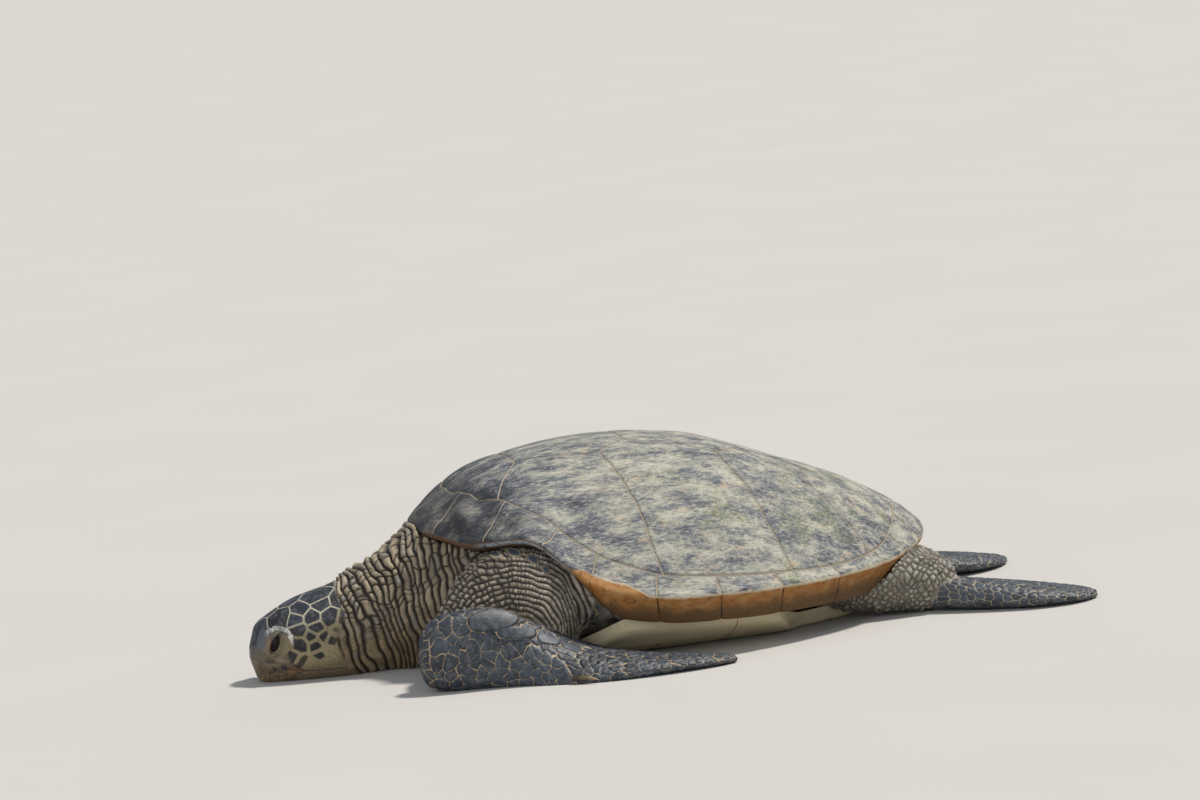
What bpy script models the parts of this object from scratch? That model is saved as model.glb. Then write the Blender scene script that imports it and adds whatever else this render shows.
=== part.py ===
"""A life-size green sea turtle basking on level ground.

Metres, +Z up. The head points to -X and the left side faces -Y. The origin is on the ground under
the middle of the shell, on the flat of the belly plate (plastron).

The shell is one closed-form surface. Its scutes are grids laid on that surface and thickened along
its normal. Each piece of flesh is a loft of its own, cleared from the shell, the plastron and the
pieces of flesh beside it. The head is one body, parted into head, lower jaw and beak by thin cuts.
"""
import math

import bmesh
import bpy
from mathutils import Matrix, Vector

# ---------------------------------------------------------------- driving dimensions
GAP = 0.0005  # left between neighbouring pieces
HALF_LENGTH = 0.438  # half of the straight carapace length
WIDTH_MAIN = 0.335  # the outline's half width is an ellipse of this size ...
WIDTH_FORWARD = 0.0300  # ... carried forward by a second harmonic, which makes it heart-shaped
WIDTH_BLUNT = -0.002  # ... and a third harmonic that shapes the two ends
DOME_FLAT = 2.6  # exponents of the dome's cross-section: flat on top, steep at the side
DOME_FLARE = 1.25  # and flaring out to the rim
SCUTE_THICK = 0.012

# Height of the ridge and of the rim along the shell, as (x, z).
RIDGE = [(-0.438, 0.231), (-0.407, 0.262), (-0.358, 0.299), (-0.295, 0.3235), (-0.200, 0.341),
         (-0.109, 0.346), (-0.020, 0.3385), (0.065, 0.3225), (0.174, 0.281), (0.260, 0.2455),
         (0.335, 0.209), (0.399, 0.1675), (0.438, 0.126)]
RIM = [(-0.438, 0.228), (-0.370, 0.227), (-0.305, 0.223), (-0.258, 0.184), (-0.209, 0.136),
       (-0.112, 0.110), (0.000, 0.101), (0.120, 0.096), (0.223, 0.095), (0.327, 0.0985),
       (0.400, 0.111), (0.438, 0.125)]
# The costal-marginal seam is the outline drawn in to these shares of it, as (x, share).
SEAM_SHARE = [(-0.438, 0.860), (-0.250, 0.862), (-0.190, 0.882), (-0.110, 0.905), (0.000, 0.922),
              (0.150, 0.940), (0.240, 0.953), (0.300, 0.950), (0.350, 0.938), (0.400, 0.905),
              (0.438, 0.895)]
# How far the shell's lip turns down below that line beside the neck, as (x, drop).
LIP_DROP = [(-0.438, 0.0), (-0.430, 0.001), (-0.411, 0.005), (-0.393, 0.011), (-0.372, 0.010),
            (-0.345, 0.006), (-0.315, 0.002), (-0.290, 0.0), (0.438, 0.0)]

# Where the vertebral scutes meet (x, half width), and their side corners, where costals meet too.
VERTEBRAL_ENDS = [(-0.269, 0.070), (-0.078, 0.067), (0.118, 0.063), (0.270, 0.044)]
VERTEBRAL_CORNERS = [(-0.131, 0.115), (0.063, 0.110), (0.183, 0.100)]
FIRST_CORNER_X = -0.326  # vertebral 1 meets costal 1 at the seam here
COSTAL_FEET_X = [-0.093, 0.132, 0.289]  # where the seams between the costals reach the seam ring
LAST_CORNER_X = 0.350  # vertebral 5 meets costal 4 at the seam here
# Length of each rim scute along the rim, front to back: half the nuchal, then marginals 1 to 12.
RIM_SCUTES = [0.095, 0.125, 0.108, 0.072, 0.105, 0.106, 0.112, 0.118, 0.110, 0.072, 0.062, 0.056,
              0.052]

# The head's own frame: its snout, the pitch and turn of its axis. `a` runs back from the snout,
# `b` up and `w` to the side.
SNOUT = Vector((-0.7230, 0.040, 0.0590))
HEAD_PITCH = math.radians(15.0)
HEAD_TURN = math.radians(10.0)
EYE_AT = (0.0445, -0.0040, 0.0335)
EYE_RADIUS = 0.0185
LID_SLANT = math.radians(48.0)


def smooth(stations):
    """A function through (x, value) stations: cubic, with the slopes of Catmull and Rom."""
    xs = [s[0] for s in stations]
    vs = [s[1] for s in stations]
    slopes = []
    for i in range(len(xs)):
        lo, hi = max(i - 1, 0), min(i + 1, len(xs) - 1)
        slopes.append((vs[hi] - vs[lo]) / (xs[hi] - xs[lo]))

    def value(x):
        x = min(max(x, xs[0]), xs[-1])
        i = max(k for k in range(len(xs) - 1) if xs[k] <= x)
        h = xs[i + 1] - xs[i]
        t = (x - xs[i]) / h
        return (vs[i] * (1 + 2 * t) * (1 - t) ** 2 + slopes[i] * h * t * (1 - t) ** 2
                + vs[i + 1] * t * t * (3 - 2 * t) - slopes[i + 1] * h * t * t * (1 - t))

    return value


ridge_z = smooth(RIDGE)
rim_z = smooth(RIM)
lip_drop = smooth(LIP_DROP)
seam_share = smooth(SEAM_SHARE)


# ---------------------------------------------------------------- the shell's surface
def outline(phi):
    """A point (x, w) of the shell's plan outline, with phi from 0 at the nape to pi at the tail."""
    w = (WIDTH_MAIN * math.sin(phi) + WIDTH_FORWARD * math.sin(2 * phi)
         + WIDTH_BLUNT * math.sin(3 * phi))
    return Vector((-HALF_LENGTH * math.cos(phi), max(w, 0.0)))


def half_width(x):
    share = min(max(-x / HALF_LENGTH, -1.0), 1.0)
    return max(outline(math.acos(share)).y, 1e-4)


def dome_z(x, w):
    q = min(abs(w) / half_width(x), 1.0)
    low, high = rim_z(x), ridge_z(x)
    return low + (high - low) * (1 - q ** DOME_FLAT) ** DOME_FLARE


def dome(x, w):
    return Vector((x, w, dome_z(x, w)))


def dome_normal(x, w, step=0.004):
    """The dome's outward normal, from points a little to each side, kept clear of its steep foot."""
    limit = 0.90 * half_width(x)
    w = min(max(w, -limit), limit)
    along = dome(x + step, w) - dome(x - step, w)
    across = dome(x, w + step) - dome(x, w - step)
    return along.cross(across).normalized()


def seam_point(phi):
    """A point (x, w) of the seam ring between the marginals and the scutes inside them."""
    rim = outline(phi)
    return rim * seam_share(rim.x)


def seam_phi(x):
    """The phi at which the seam ring reaches this x, by halving."""
    low, high = 0.0, math.pi
    for _ in range(30):
        middle = (low + high) / 2
        if seam_point(middle).x < x:
            low = middle
        else:
            high = middle
    return low


def rim_phis():
    """The phi of each seam between the rim scutes, from the nuchal back, by length along the rim."""
    steps = 400
    phis = [math.pi * i / steps for i in range(steps + 1)]
    length = [0.0]
    for a, b in zip(phis, phis[1:]):
        length.append(length[-1] + (outline(b) - outline(a)).length)
    scale = length[-1] / sum(RIM_SCUTES)
    found, goal = [], 0.0
    for width in RIM_SCUTES[:-1]:
        goal += width * scale
        found.append(phis[min(range(steps + 1), key=lambda i: abs(length[i] - goal))])
    return found + [math.pi]


# ---------------------------------------------------------------- mesh helpers
def new_object(name, bm, material, collection):
    bmesh.ops.recalc_face_normals(bm, faces=bm.faces)
    mesh = bpy.data.meshes.new(name)
    bm.to_mesh(mesh)
    bm.free()
    obj = bpy.data.objects.new(name, mesh)
    collection.objects.link(obj)
    if material:
        mesh.materials.append(material)
    mesh.shade_smooth()
    mesh.set_sharp_from_angle(angle=math.radians(40))
    return obj


def loft(rings):
    """A closed body through rings of equal point counts, with flat ends."""
    bm = bmesh.new()
    rows = [[bm.verts.new(p) for p in ring] for ring in rings]
    n = len(rows[0])
    for a, b in zip(rows, rows[1:]):
        for i in range(n):
            j = (i + 1) % n
            bm.faces.new((a[i], a[j], b[j]))
            bm.faces.new((a[i], b[j], b[i]))
    bm.faces.new(list(reversed(rows[0])))
    bm.faces.new(rows[-1])
    bmesh.ops.recalc_face_normals(bm, faces=bm.faces)
    return bm


def oval(centre, side, up, half_side, half_up, half_down, power, count):
    """A ring round `centre`: a superellipse whose upper and lower halves may differ."""
    ring = []
    for i in range(count):
        angle = 2 * math.pi * (i + 0.5) / count
        c, s = math.cos(angle), math.sin(angle)
        reach = 1.0 / (abs(c) ** power + abs(s) ** power) ** (1.0 / power)
        height = half_up if s > 0 else half_down
        ring.append(centre + side * (half_side * reach * c) + up * (height * reach * s))
    return ring


def grounded(bm, floor=0.0):
    """Flattens what would sink into the ground."""
    for v in bm.verts:
        v.co.z = max(v.co.z, floor)
    return bm


def thickened_grid(columns, rows, place, normal, thickness):
    """A grid laid by place(u, v), made a closed plate by extruding it along -normal(u, v)."""
    bm = bmesh.new()
    bmesh.ops.create_grid(bm, x_segments=columns, y_segments=rows, size=0.5)
    shift = {}
    for v in bm.verts:
        u, t = v.co.x + 0.5, v.co.y + 0.5
        v.co = place(u, t)
        shift[v] = -thickness * normal(u, t)
    top = list(bm.faces)
    pairs = [(v.co.copy(), shift[v]) for v in bm.verts]
    bmesh.ops.extrude_face_region(bm, geom=top, use_keep_orig=True)
    lower = [v for v in bm.verts if v not in shift]
    for v in lower:
        nearest = min(pairs, key=lambda p: (p[0] - v.co).length_squared)
        v.co = v.co + nearest[1]
    bmesh.ops.triangulate(bm, faces=bm.faces, quad_method="SHORT_EDGE")
    return bm


def combine(target, other, operation):
    """Applies a Boolean of `other` to `target`, and removes `other`."""
    modifier = target.modifiers.new("cut", "BOOLEAN")
    modifier.operation = operation
    modifier.object = other
    modifier.solver = "EXACT"
    bpy.context.view_layer.update()
    graph = bpy.context.evaluated_depsgraph_get()
    result = bpy.data.meshes.new_from_object(target.evaluated_get(graph))
    target.modifiers.clear()
    target.data = result
    bpy.data.objects.remove(other)


def cutter(bm, name="cutter"):
    obj = new_object(name, bm, None, CUTTERS)
    obj.hide_render = True
    obj.display_type = "WIRE"
    return obj


# ---------------------------------------------------------------- scutes
def along_path(path, t):
    """The point at t of a polyline of (x, w) points, with an equal share of t for each segment."""
    place = min(t, 1 - 1e-9) * (len(path) - 1)
    i = int(place)
    return path[i].lerp(path[i + 1], place - i)


def ring_path(x0, x1, count=4):
    """The seam ring from x0 to x1, as (x, w) points."""
    p0, p1 = seam_phi(x0), seam_phi(x1)
    return [seam_point(p0 + (p1 - p0) * i / count) for i in range(count + 1)]


def patch(front, rear, inner, outer):
    """A transfinite map of the unit square onto the patch between four (x, w) edge functions."""
    corners = front(0), front(1), rear(0), rear(1)

    def place(u, v):
        ruled = front(v) * (1 - u) + rear(v) * u + inner(u) * (1 - v) + outer(u) * v
        bilinear = (corners[0] * (1 - u) * (1 - v) + corners[1] * (1 - u) * v
                    + corners[2] * u * (1 - v) + corners[3] * u * v)
        return ruled - bilinear

    return place


def lay_scute(name, place, side, columns, rows):
    """A scute: the plan patch drawn in by half a gap, lifted to the dome and thickened."""
    middle = place(0.5, 0.5)
    reach = max((place(u, v) - middle).length for u in (0, 1) for v in (0, 1))
    draw_in = 1 - GAP / reach * 1.3

    def on_dome(u, v):
        p = middle + (place(u, v) - middle) * draw_in
        p.y *= side
        return p

    def point(u, v):
        p = on_dome(u, v)
        return dome(p.x, p.y)

    def normal(u, v):
        p = on_dome(u, v)
        return dome_normal(p.x, p.y)

    bm = thickened_grid(columns, rows, point, normal, SCUTE_THICK)
    return new_object(name, bm, SHELL, PARTS)


def make_vertebrals():
    first_corner = seam_point(seam_phi(FIRST_CORNER_X))
    last_corner = seam_point(seam_phi(LAST_CORNER_X))
    ends = [first_corner] + [Vector(p) for p in VERTEBRAL_ENDS] + [last_corner]
    corners = [None] + [Vector(p) for p in VERTEBRAL_CORNERS] + [None]
    for i in range(5):
        a, b, corner = ends[i], ends[i + 1], corners[i]
        side_path = [a, corner, b] if corner else [a, b]
        left_path = [Vector((p.x, -p.y)) for p in side_path]
        front = lambda v, a=a: Vector((a.x, a.y * (2 * v - 1)))
        rear = lambda v, b=b: Vector((b.x, b.y * (2 * v - 1)))
        if i == 0:
            front = nape_edge(a)
        if i == 4:
            rear = tail_edge(b)
        inner = lambda u, path=left_path: along_path(path, u)
        outer = lambda u, path=side_path: along_path(path, u)
        rows = 8 if i in (0, 4) else 4
        lay_scute(f"vertebral_{i + 1}", patch(front, rear, inner, outer), 1, 4, rows)


def nape_edge(corner):
    """The seam ring across the nape, from the left corner to the right one."""
    reach = seam_phi(corner.x)

    def edge(v):
        p = seam_point(abs(2 * v - 1) * reach)
        return Vector((p.x, p.y if v > 0.5 else -p.y))

    return edge


def tail_edge(corner):
    reach = math.pi - seam_phi(corner.x)

    def edge(v):
        p = seam_point(math.pi - abs(2 * v - 1) * reach)
        return Vector((p.x, p.y if v > 0.5 else -p.y))

    return edge


def make_costals():
    tops = [Vector(p) for p in VERTEBRAL_CORNERS]
    ends = [Vector(p) for p in VERTEBRAL_ENDS]
    feet = [FIRST_CORNER_X] + COSTAL_FEET_X + [LAST_CORNER_X]
    inner_paths = [
        [ends[0], tops[0]],
        [tops[0], ends[1], tops[1]],
        [tops[1], ends[2], tops[2]],
        [tops[2], ends[3]],
    ]
    for i in range(4):
        foot = ring_path(feet[i], feet[i + 1])
        top = inner_paths[i]
        front = lambda v, a=top[0], b=foot[0]: a.lerp(b, v)
        rear = lambda v, a=top[-1], b=foot[-1]: a.lerp(b, v)
        inner = lambda u, path=top: along_path(path, u)
        outer = lambda u, path=foot: along_path(path, u)
        place = patch(front, rear, inner, outer)
        for side, word in ((-1, "left"), (1, "right")):
            lay_scute(f"costal_{word}_{i + 1}", place, side, 4, 5)


SKIRT = 0.018  # how much deeper the rim's outer face hangs along the flanks


def rim_section(phi, side):
    """The closed section of a rim scute: its upper face, its rounded edge, its under face and its root."""
    rim = outline(phi)
    seam = seam_point(phi)
    drop = lip_drop(rim.x)
    z = rim_z(rim.x) - drop
    bridge = bridge_share(rim.x)
    skirt = skirt_share(rim.x)
    under = rim * (0.868 - 0.005 * bridge)
    under_z = z - 0.020 - 0.016 * bridge - SKIRT * skirt * (1 - bridge)
    shoulder = seam.lerp(rim, 0.5)
    inside = seam * (1 + 1.3 * GAP / max(seam.length, 0.05))
    seam_z = dome_z(inside.x, inside.y)
    points = [
        (inside, seam_z),
        (shoulder, dome_z(shoulder.x, shoulder.y) - 0.15 * drop),
        (rim * 0.992, z + 0.0075),
        (rim, z),
        (rim * 0.990, z - 0.007),
        (rim.lerp(under, 0.5), (z - 0.007 + under_z) / 2 - 0.001 - SKIRT * skirt),
        (under, under_z),
        (inside * 0.993, seam_z - SCUTE_THICK),
    ]
    return [Vector((p.x, side * p.y, h)) for p, h in points]


def bridge_share(x):
    """1 where the plastron's bridge joins the rim, 0 ahead of it and behind it."""
    rise = min(max((x + 0.26) / 0.08, 0.0), 1.0)
    fall = min(max((0.24 - x) / 0.08, 0.0), 1.0)
    return rise * rise * (3 - 2 * rise) * fall * fall * (3 - 2 * fall)


def skirt_share(x):
    """1 along the flanks, where the rim's outer face hangs deep, 0 at the shoulder and the tail."""
    rise = min(max((x + 0.25) / 0.08, 0.0), 1.0)
    fall = min(max((0.385 - x) / 0.095, 0.0), 1.0)
    return rise * rise * (3 - 2 * rise) * fall * fall * (3 - 2 * fall)


def rim_stations():
    """Every phi at which the rim has a section: each seam, and the middle of each scute."""
    phis = [0.0] + rim_phis()
    return [phi for a, b in zip(phis, phis[1:]) for phi in (a, (a + b) / 2)] + [math.pi]


def make_rim_scutes():
    stations = rim_stations()
    lean = 1.2 * GAP / HALF_LENGTH
    reach = stations[2] - lean
    nuchal = [rim_section(share * reach, side)
              for side, share in ((-1, 1.0), (-1, 0.5), (1, 0.0), (1, 0.5), (1, 1.0))]
    new_object("nuchal", loft(nuchal), SHELL, PARTS)
    for i in range(12):
        start, middle, stop = stations[2 * i + 2:2 * i + 5]
        last = i == 11
        for side, word in ((-1, "left"), (1, "right")):
            phis = (start + lean, middle, stop - (0.5 * lean if last else lean))
            bm = loft([rim_section(phi, side) for phi in phis])
            if last:
                for v in bm.verts:
                    v.co.y = side * max(side * v.co.y, GAP / 2)
            name = f"supracaudal_{word}" if last else f"marginal_{word}_{i + 1}"
            new_object(name, bm, SHELL, PARTS)


# ---------------------------------------------------------------- plastron
PLASTRON = [(-0.315, 0.060), (-0.300, 0.110), (-0.260, 0.150), (-0.215, 0.190), (-0.180, 0.288),
            (-0.060, 0.293), (0.070, 0.276), (0.115, 0.255), (0.155, 0.172), (0.210, 0.142),
            (0.280, 0.100), (0.320, 0.050)]
PLASTRON_THICK = 0.020
FLAT_HALF = 0.165  # half width of the flat the animal lies on


def plastron_z(x, w):
    """The underside: flat, then rising to the rim along the bridge and a little round the lobes."""
    reach = max(abs(w) - FLAT_HALF, 0.0) / (0.293 - FLAT_HALF)
    wing = 0.047 * reach ** 1.35
    nose = 0.018 * max(-(x + 0.245) / 0.07, 0.0) ** 2 + 0.012 * max((x - 0.26) / 0.06, 0.0) ** 2
    return wing + nose


def plastron_point(u, v, grow=0.0):
    x = PLASTRON[0][0] + (PLASTRON[-1][0] - PLASTRON[0][0]) * u
    i = max(k for k in range(len(PLASTRON) - 1) if PLASTRON[k][0] <= x + 1e-9)
    (x0, w0), (x1, w1) = PLASTRON[i], PLASTRON[i + 1]
    half = w0 + (w1 - w0) * (x - x0) / (x1 - x0) + grow
    share = 2 * v - 1
    w = half * math.copysign(abs(share) ** 0.85, share)
    return Vector((x, w, plastron_z(x, w)))


def make_plastron():
    bm = thickened_grid(14, 6, plastron_point, lambda u, v: Vector((0, 0, -1)), PLASTRON_THICK)
    return new_object("plastron", bm, BELLY, PARTS)


# ---------------------------------------------------------------- clearance bodies
SLACK = 0.004  # between the scutes and the flesh under them, where nothing shows


def clearance_section(phi):
    """The surface of the flesh under one section of the shell, from near the middle out to the rim."""
    rim = outline(phi)
    points = []
    for share in (0.36, 0.62, 0.78):
        p = rim * share
        q = dome(p.x, p.y) - dome_normal(p.x, p.y) * (SCUTE_THICK + SLACK)
        points.append(q)
    root = rim * min(seam_share(rim.x) * 0.965, 0.850)
    points.append(Vector((root.x, root.y, dome_z(root.x, root.y) - 1.4 * (SCUTE_THICK + SLACK))))
    section = rim_section(phi, 1)
    for index, share in ((6, 0.993), (5, 0.997), (4, 1.002), (3, 1.004)):
        q = section[index]
        points.append(Vector((q.x * share, q.y * share, q.z - 5 * GAP)))
    return points


def shell_clearance():
    """Everything from just under the shell upwards, to clear the flesh from the shell."""
    top_z = 0.5
    bm = bmesh.new()
    half = rim_stations()
    turns = [(phi, 1) for phi in half] + [(phi, -1) for phi in reversed(half[1:-1])]
    columns = []
    for phi, side in turns:
        points = clearance_section(phi)
        points.append(Vector((points[-1].x, points[-1].y, top_z)))
        columns.append([bm.verts.new((p.x, side * p.y, p.z)) for p in points])
    middle = bm.verts.new(dome(0, 0) - Vector((0, 0, SCUTE_THICK + SLACK)))
    for k, column in enumerate(columns):
        low, high = column, columns[(k + 1) % len(columns)]
        if k >= len(half) - 1:
            low, high = high, low
        bm.faces.new((middle, low[0], high[0]))
        for i in range(len(low) - 1):
            bm.faces.new((low[i], low[i + 1], high[i]))
            bm.faces.new((low[i + 1], high[i + 1], high[i]))
    bm.faces.new([column[-1] for column in columns])
    bmesh.ops.recalc_face_normals(bm, faces=bm.faces)
    return cutter(bm, "shell_clearance")


def plastron_clearance():
    """Everything from just over the plastron downwards."""
    def top(u, v):
        p = plastron_point(u, v, grow=2 * GAP)
        return Vector((p.x + (u - 0.5) * 4 * GAP, p.y, p.z + PLASTRON_THICK + 2 * GAP))

    bm = thickened_grid(14, 6, top, lambda u, v: Vector((0, 0, 1)), 0.12)
    return cutter(bm, "plastron_clearance")


# ---------------------------------------------------------------- flesh
def head_frame():
    turn = Matrix.Rotation(-HEAD_TURN, 4, "Z")
    pitch = Matrix.Rotation(-HEAD_PITCH, 4, "Y")
    return Matrix.Translation(SNOUT) @ turn @ pitch


def in_head(a, b, w=0.0):
    """A point given back from the snout, up and to the side (left is -w), in the world."""
    return head_frame() @ Vector((a, w, b))


# Sections of the head: back from the snout, half width, top, bottom, and how square it is.
HEAD_SECTIONS = [
    (-0.0050, 0.0110, -0.0170, -0.0450, 2.0),
    (-0.0030, 0.0200, -0.0080, -0.0570, 2.1),
    (0.0020, 0.0275, 0.0035, -0.0645, 2.2),
    (0.0100, 0.0350, 0.0165, -0.0690, 2.3),
    (0.0190, 0.0400, 0.0290, -0.0720, 2.3),
    (0.0300, 0.0445, 0.0355, -0.0755, 2.3),
    (0.0440, 0.0490, 0.0400, -0.0800, 2.4),
    (0.0620, 0.0540, 0.0445, -0.0850, 2.4),
    (0.0820, 0.0595, 0.0490, -0.0910, 2.4),
    (0.1040, 0.0640, 0.0515, -0.0970, 2.3),
    (0.1280, 0.0660, 0.0515, -0.1030, 2.3),
    (0.1520, 0.0665, 0.0515, -0.1090, 2.2),
    (0.1720, 0.0665, 0.0535, -0.1140, 2.1),
]
# Sections of the neck: x, side drift, half width, top, bottom, and how far the top leans forward.
NECK_SECTIONS = [
    (-0.520, 0.010, 0.0710, 0.1720, -0.010, 0.030),
    (-0.495, 0.006, 0.0790, 0.1830, -0.012, 0.022),
    (-0.462, 0.003, 0.0920, 0.2090, -0.012, 0.014),
    (-0.434, 0.001, 0.1080, 0.2360, -0.010, 0.006),
    (-0.408, 0.000, 0.1240, 0.2560, 0.000, 0.000),
    (-0.3855, 0.000, 0.1360, 0.2620, 0.018, 0.000),
]
# Sections of the trunk: x, half width, top, bottom.
TRUNK_SECTIONS = [
    (-0.385, 0.135, 0.262, 0.060),
    (-0.350, 0.190, 0.275, 0.042),
    (-0.280, 0.250, 0.320, 0.028),
    (-0.160, 0.288, 0.330, 0.026),
    (-0.010, 0.291, 0.325, 0.026),
    (0.140, 0.263, 0.290, 0.026),
    (0.240, 0.213, 0.250, 0.026),
    (0.320, 0.150, 0.205, 0.030),
    (0.370, 0.095, 0.170, 0.045),
]


def body_ring(x, drift, half, top, bottom, power, lean=0.0, count=20):
    middle = (top + bottom) / 2
    up = Vector((-lean / (top - middle), 0, 1))
    return oval(Vector((x, drift, middle)), Vector((0, 1, 0)), up, half, top - middle,
                middle - bottom, power, count)


def head_ring(a, half, top, bottom, power):
    middle = bottom + 0.48 * (top - bottom)
    frame = head_frame().to_3x3()
    return oval(in_head(a, middle), frame @ Vector((0, 1, 0)), frame @ Vector((0, 0, 1)), half,
                top - middle, middle - bottom, power, 20)


def make_head():
    return grounded(loft([head_ring(*section) for section in HEAD_SECTIONS]))


def make_neck(grow=0.0):
    a, half, top, bottom, power = HEAD_SECTIONS[-1]
    rings = [head_ring(a + 2 * GAP, half + grow, top + grow, bottom, power)]
    for x, drift, half, top, bottom, lean in NECK_SECTIONS:
        rings.append(body_ring(x, drift, half + grow, top + grow, bottom, 2.2, lean))
    return grounded(loft(rings), -0.02 if grow else 0.0)


def make_trunk(grow=0.0):
    return loft([body_ring(x, 0.0, half + grow, top + grow, bottom - grow, 3.2, count=16)
                 for x, half, top, bottom in TRUNK_SECTIONS])


def limb(sections, side, grow=0.0, count=12):
    """A loft through upright sections across X; `grow` makes the cutter that clears room for it."""
    rings = []
    for x, w, z, half_chord, half_thick, degrees in sections:
        lean = math.radians(degrees)
        chord = Vector((0.0, -math.sin(lean), math.cos(lean)))
        across = Vector((0.0, math.cos(lean), math.sin(lean)))
        thick = half_thick + grow
        ring = oval(Vector((x, w, z)), chord, across, half_chord + grow, thick, thick, 2.1, count)
        rings.append([Vector((p.x, side * p.y, p.z)) for p in ring])
    return grounded(loft(rings), -0.02 if grow else 0.0)


# Each limb section: centre x, w, z, half chord, half thickness, lean in degrees.
UPPER_ARM = [
    (-0.190, 0.130, 0.120, 0.070, 0.060, 0),
    (-0.225, 0.175, 0.115, 0.086, 0.080, 0),
    (-0.270, 0.205, 0.110, 0.096, 0.092, 0),
    (-0.320, 0.218, 0.110, 0.099, 0.096, 0),
    (-0.370, 0.222, 0.102, 0.093, 0.088, 0),
    (-0.410, 0.228, 0.090, 0.080, 0.072, 0),
    (-0.440, 0.238, 0.076, 0.062, 0.056, 0),
    (-0.462, 0.250, 0.066, 0.042, 0.040, 0),
    (-0.474, 0.258, 0.060, 0.018, 0.018, 0),
]
HAND = [
    (-0.504, 0.290, 0.050, 0.014, 0.010, 4),
    (-0.500, 0.291, 0.053, 0.034, 0.019, 4),
    (-0.488, 0.293, 0.057, 0.050, 0.027, 5),
    (-0.465, 0.297, 0.060, 0.060, 0.033, 6),
    (-0.430, 0.303, 0.062, 0.064, 0.036, 9),
    (-0.390, 0.310, 0.061, 0.066, 0.034, 14),
    (-0.350, 0.319, 0.055, 0.067, 0.030, 24),
    (-0.310, 0.330, 0.043, 0.068, 0.025, 44),
    (-0.270, 0.341, 0.030, 0.069, 0.021, 62),
    (-0.220, 0.354, 0.021, 0.069, 0.0175, 76),
    (-0.165, 0.367, 0.015, 0.063, 0.0145, 84),
    (-0.110, 0.378, 0.0115, 0.052, 0.0120, 88),
    (-0.060, 0.387, 0.0095, 0.037, 0.0100, 89),
    (-0.025, 0.393, 0.0075, 0.021, 0.0078, 89),
    (-0.008, 0.396, 0.0060, 0.008, 0.0050, 89),
]
THIGH = [
    (0.170, 0.085, 0.085, 0.050, 0.055, 0),
    (0.240, 0.112, 0.074, 0.058, 0.060, 0),
    (0.305, 0.130, 0.062, 0.054, 0.062, 0),
    (0.350, 0.138, 0.055, 0.052, 0.058, 0),
    (0.390, 0.143, 0.056, 0.056, 0.052, 0),
    (0.420, 0.150, 0.048, 0.046, 0.043, 0),
    (0.442, 0.157, 0.038, 0.030, 0.030, 0),
    (0.452, 0.161, 0.033, 0.014, 0.015, 0),
]
FOOT = [
    (0.375, 0.152, 0.034, 0.020, 0.022, 86),
    (0.405, 0.160, 0.032, 0.036, 0.027, 86),
    (0.440, 0.176, 0.028, 0.048, 0.026, 87),
    (0.488, 0.196, 0.023, 0.062, 0.0235, 88),
    (0.540, 0.212, 0.018, 0.073, 0.0195, 88),
    (0.590, 0.221, 0.0135, 0.070, 0.0150, 89),
    (0.628, 0.228, 0.0100, 0.053, 0.0110, 89),
    (0.652, 0.233, 0.0080, 0.030, 0.0080, 89),
    (0.664, 0.236, 0.0060, 0.010, 0.0050, 89),
]
TAIL = [
    (0.360, 0.002, 0.050, 0.040, 0.042, 0),
    (0.390, 0.004, 0.040, 0.033, 0.033, 0),
    (0.425, 0.010, 0.027, 0.025, 0.023, 0),
    (0.460, 0.018, 0.017, 0.017, 0.015, 0),
    (0.485, 0.026, 0.010, 0.010, 0.008, 0),
]


def lid_bulge(side):
    """The mound of the closed lids round the eye."""
    bm = bmesh.new()
    bmesh.ops.create_uvsphere(bm, u_segments=12, v_segments=8, radius=1.0)
    a, b, _ = EYE_AT
    shape = (head_frame() @ Matrix.Translation((a + 0.003, side * 0.0365, b))
             @ Matrix.Rotation(-LID_SLANT, 4, "Y") @ Matrix.Diagonal((0.0285, 0.0190, 0.0225, 1)))
    bmesh.ops.transform(bm, matrix=shape, verts=bm.verts)
    return cutter(bm, "lid_bulge")


def eye_ball(side, radius):
    bm = bmesh.new()
    bmesh.ops.create_uvsphere(bm, u_segments=12, v_segments=8, radius=radius)
    a, b, w = EYE_AT
    pole = Matrix.Rotation(math.radians(90), 4, "X")
    bmesh.ops.transform(bm, matrix=Matrix.Translation(in_head(a, b, side * w)) @ pole,
                        verts=bm.verts)
    return bm


def lid_opening(side):
    """An almond through the lids, slanting up and back."""
    bm = bmesh.new()
    bmesh.ops.create_uvsphere(bm, u_segments=12, v_segments=6, radius=1.0)
    a, b, w = EYE_AT
    shape = (head_frame() @ Matrix.Translation((a, side * (w + 0.010), b))
             @ Matrix.Rotation(-LID_SLANT, 4, "Y") @ Matrix.Diagonal((0.0195, 0.022, 0.0062, 1)))
    bmesh.ops.transform(bm, matrix=shape, verts=bm.verts)
    return cutter(bm, "lid_opening")


def flesh(name, bm):
    """A piece of flesh, cleared from the shell and the plastron."""
    piece = new_object(name, bm, SKIN, PARTS)
    combine(piece, shell_clearance(), "DIFFERENCE")
    combine(piece, plastron_clearance(), "DIFFERENCE")
    return piece


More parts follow.
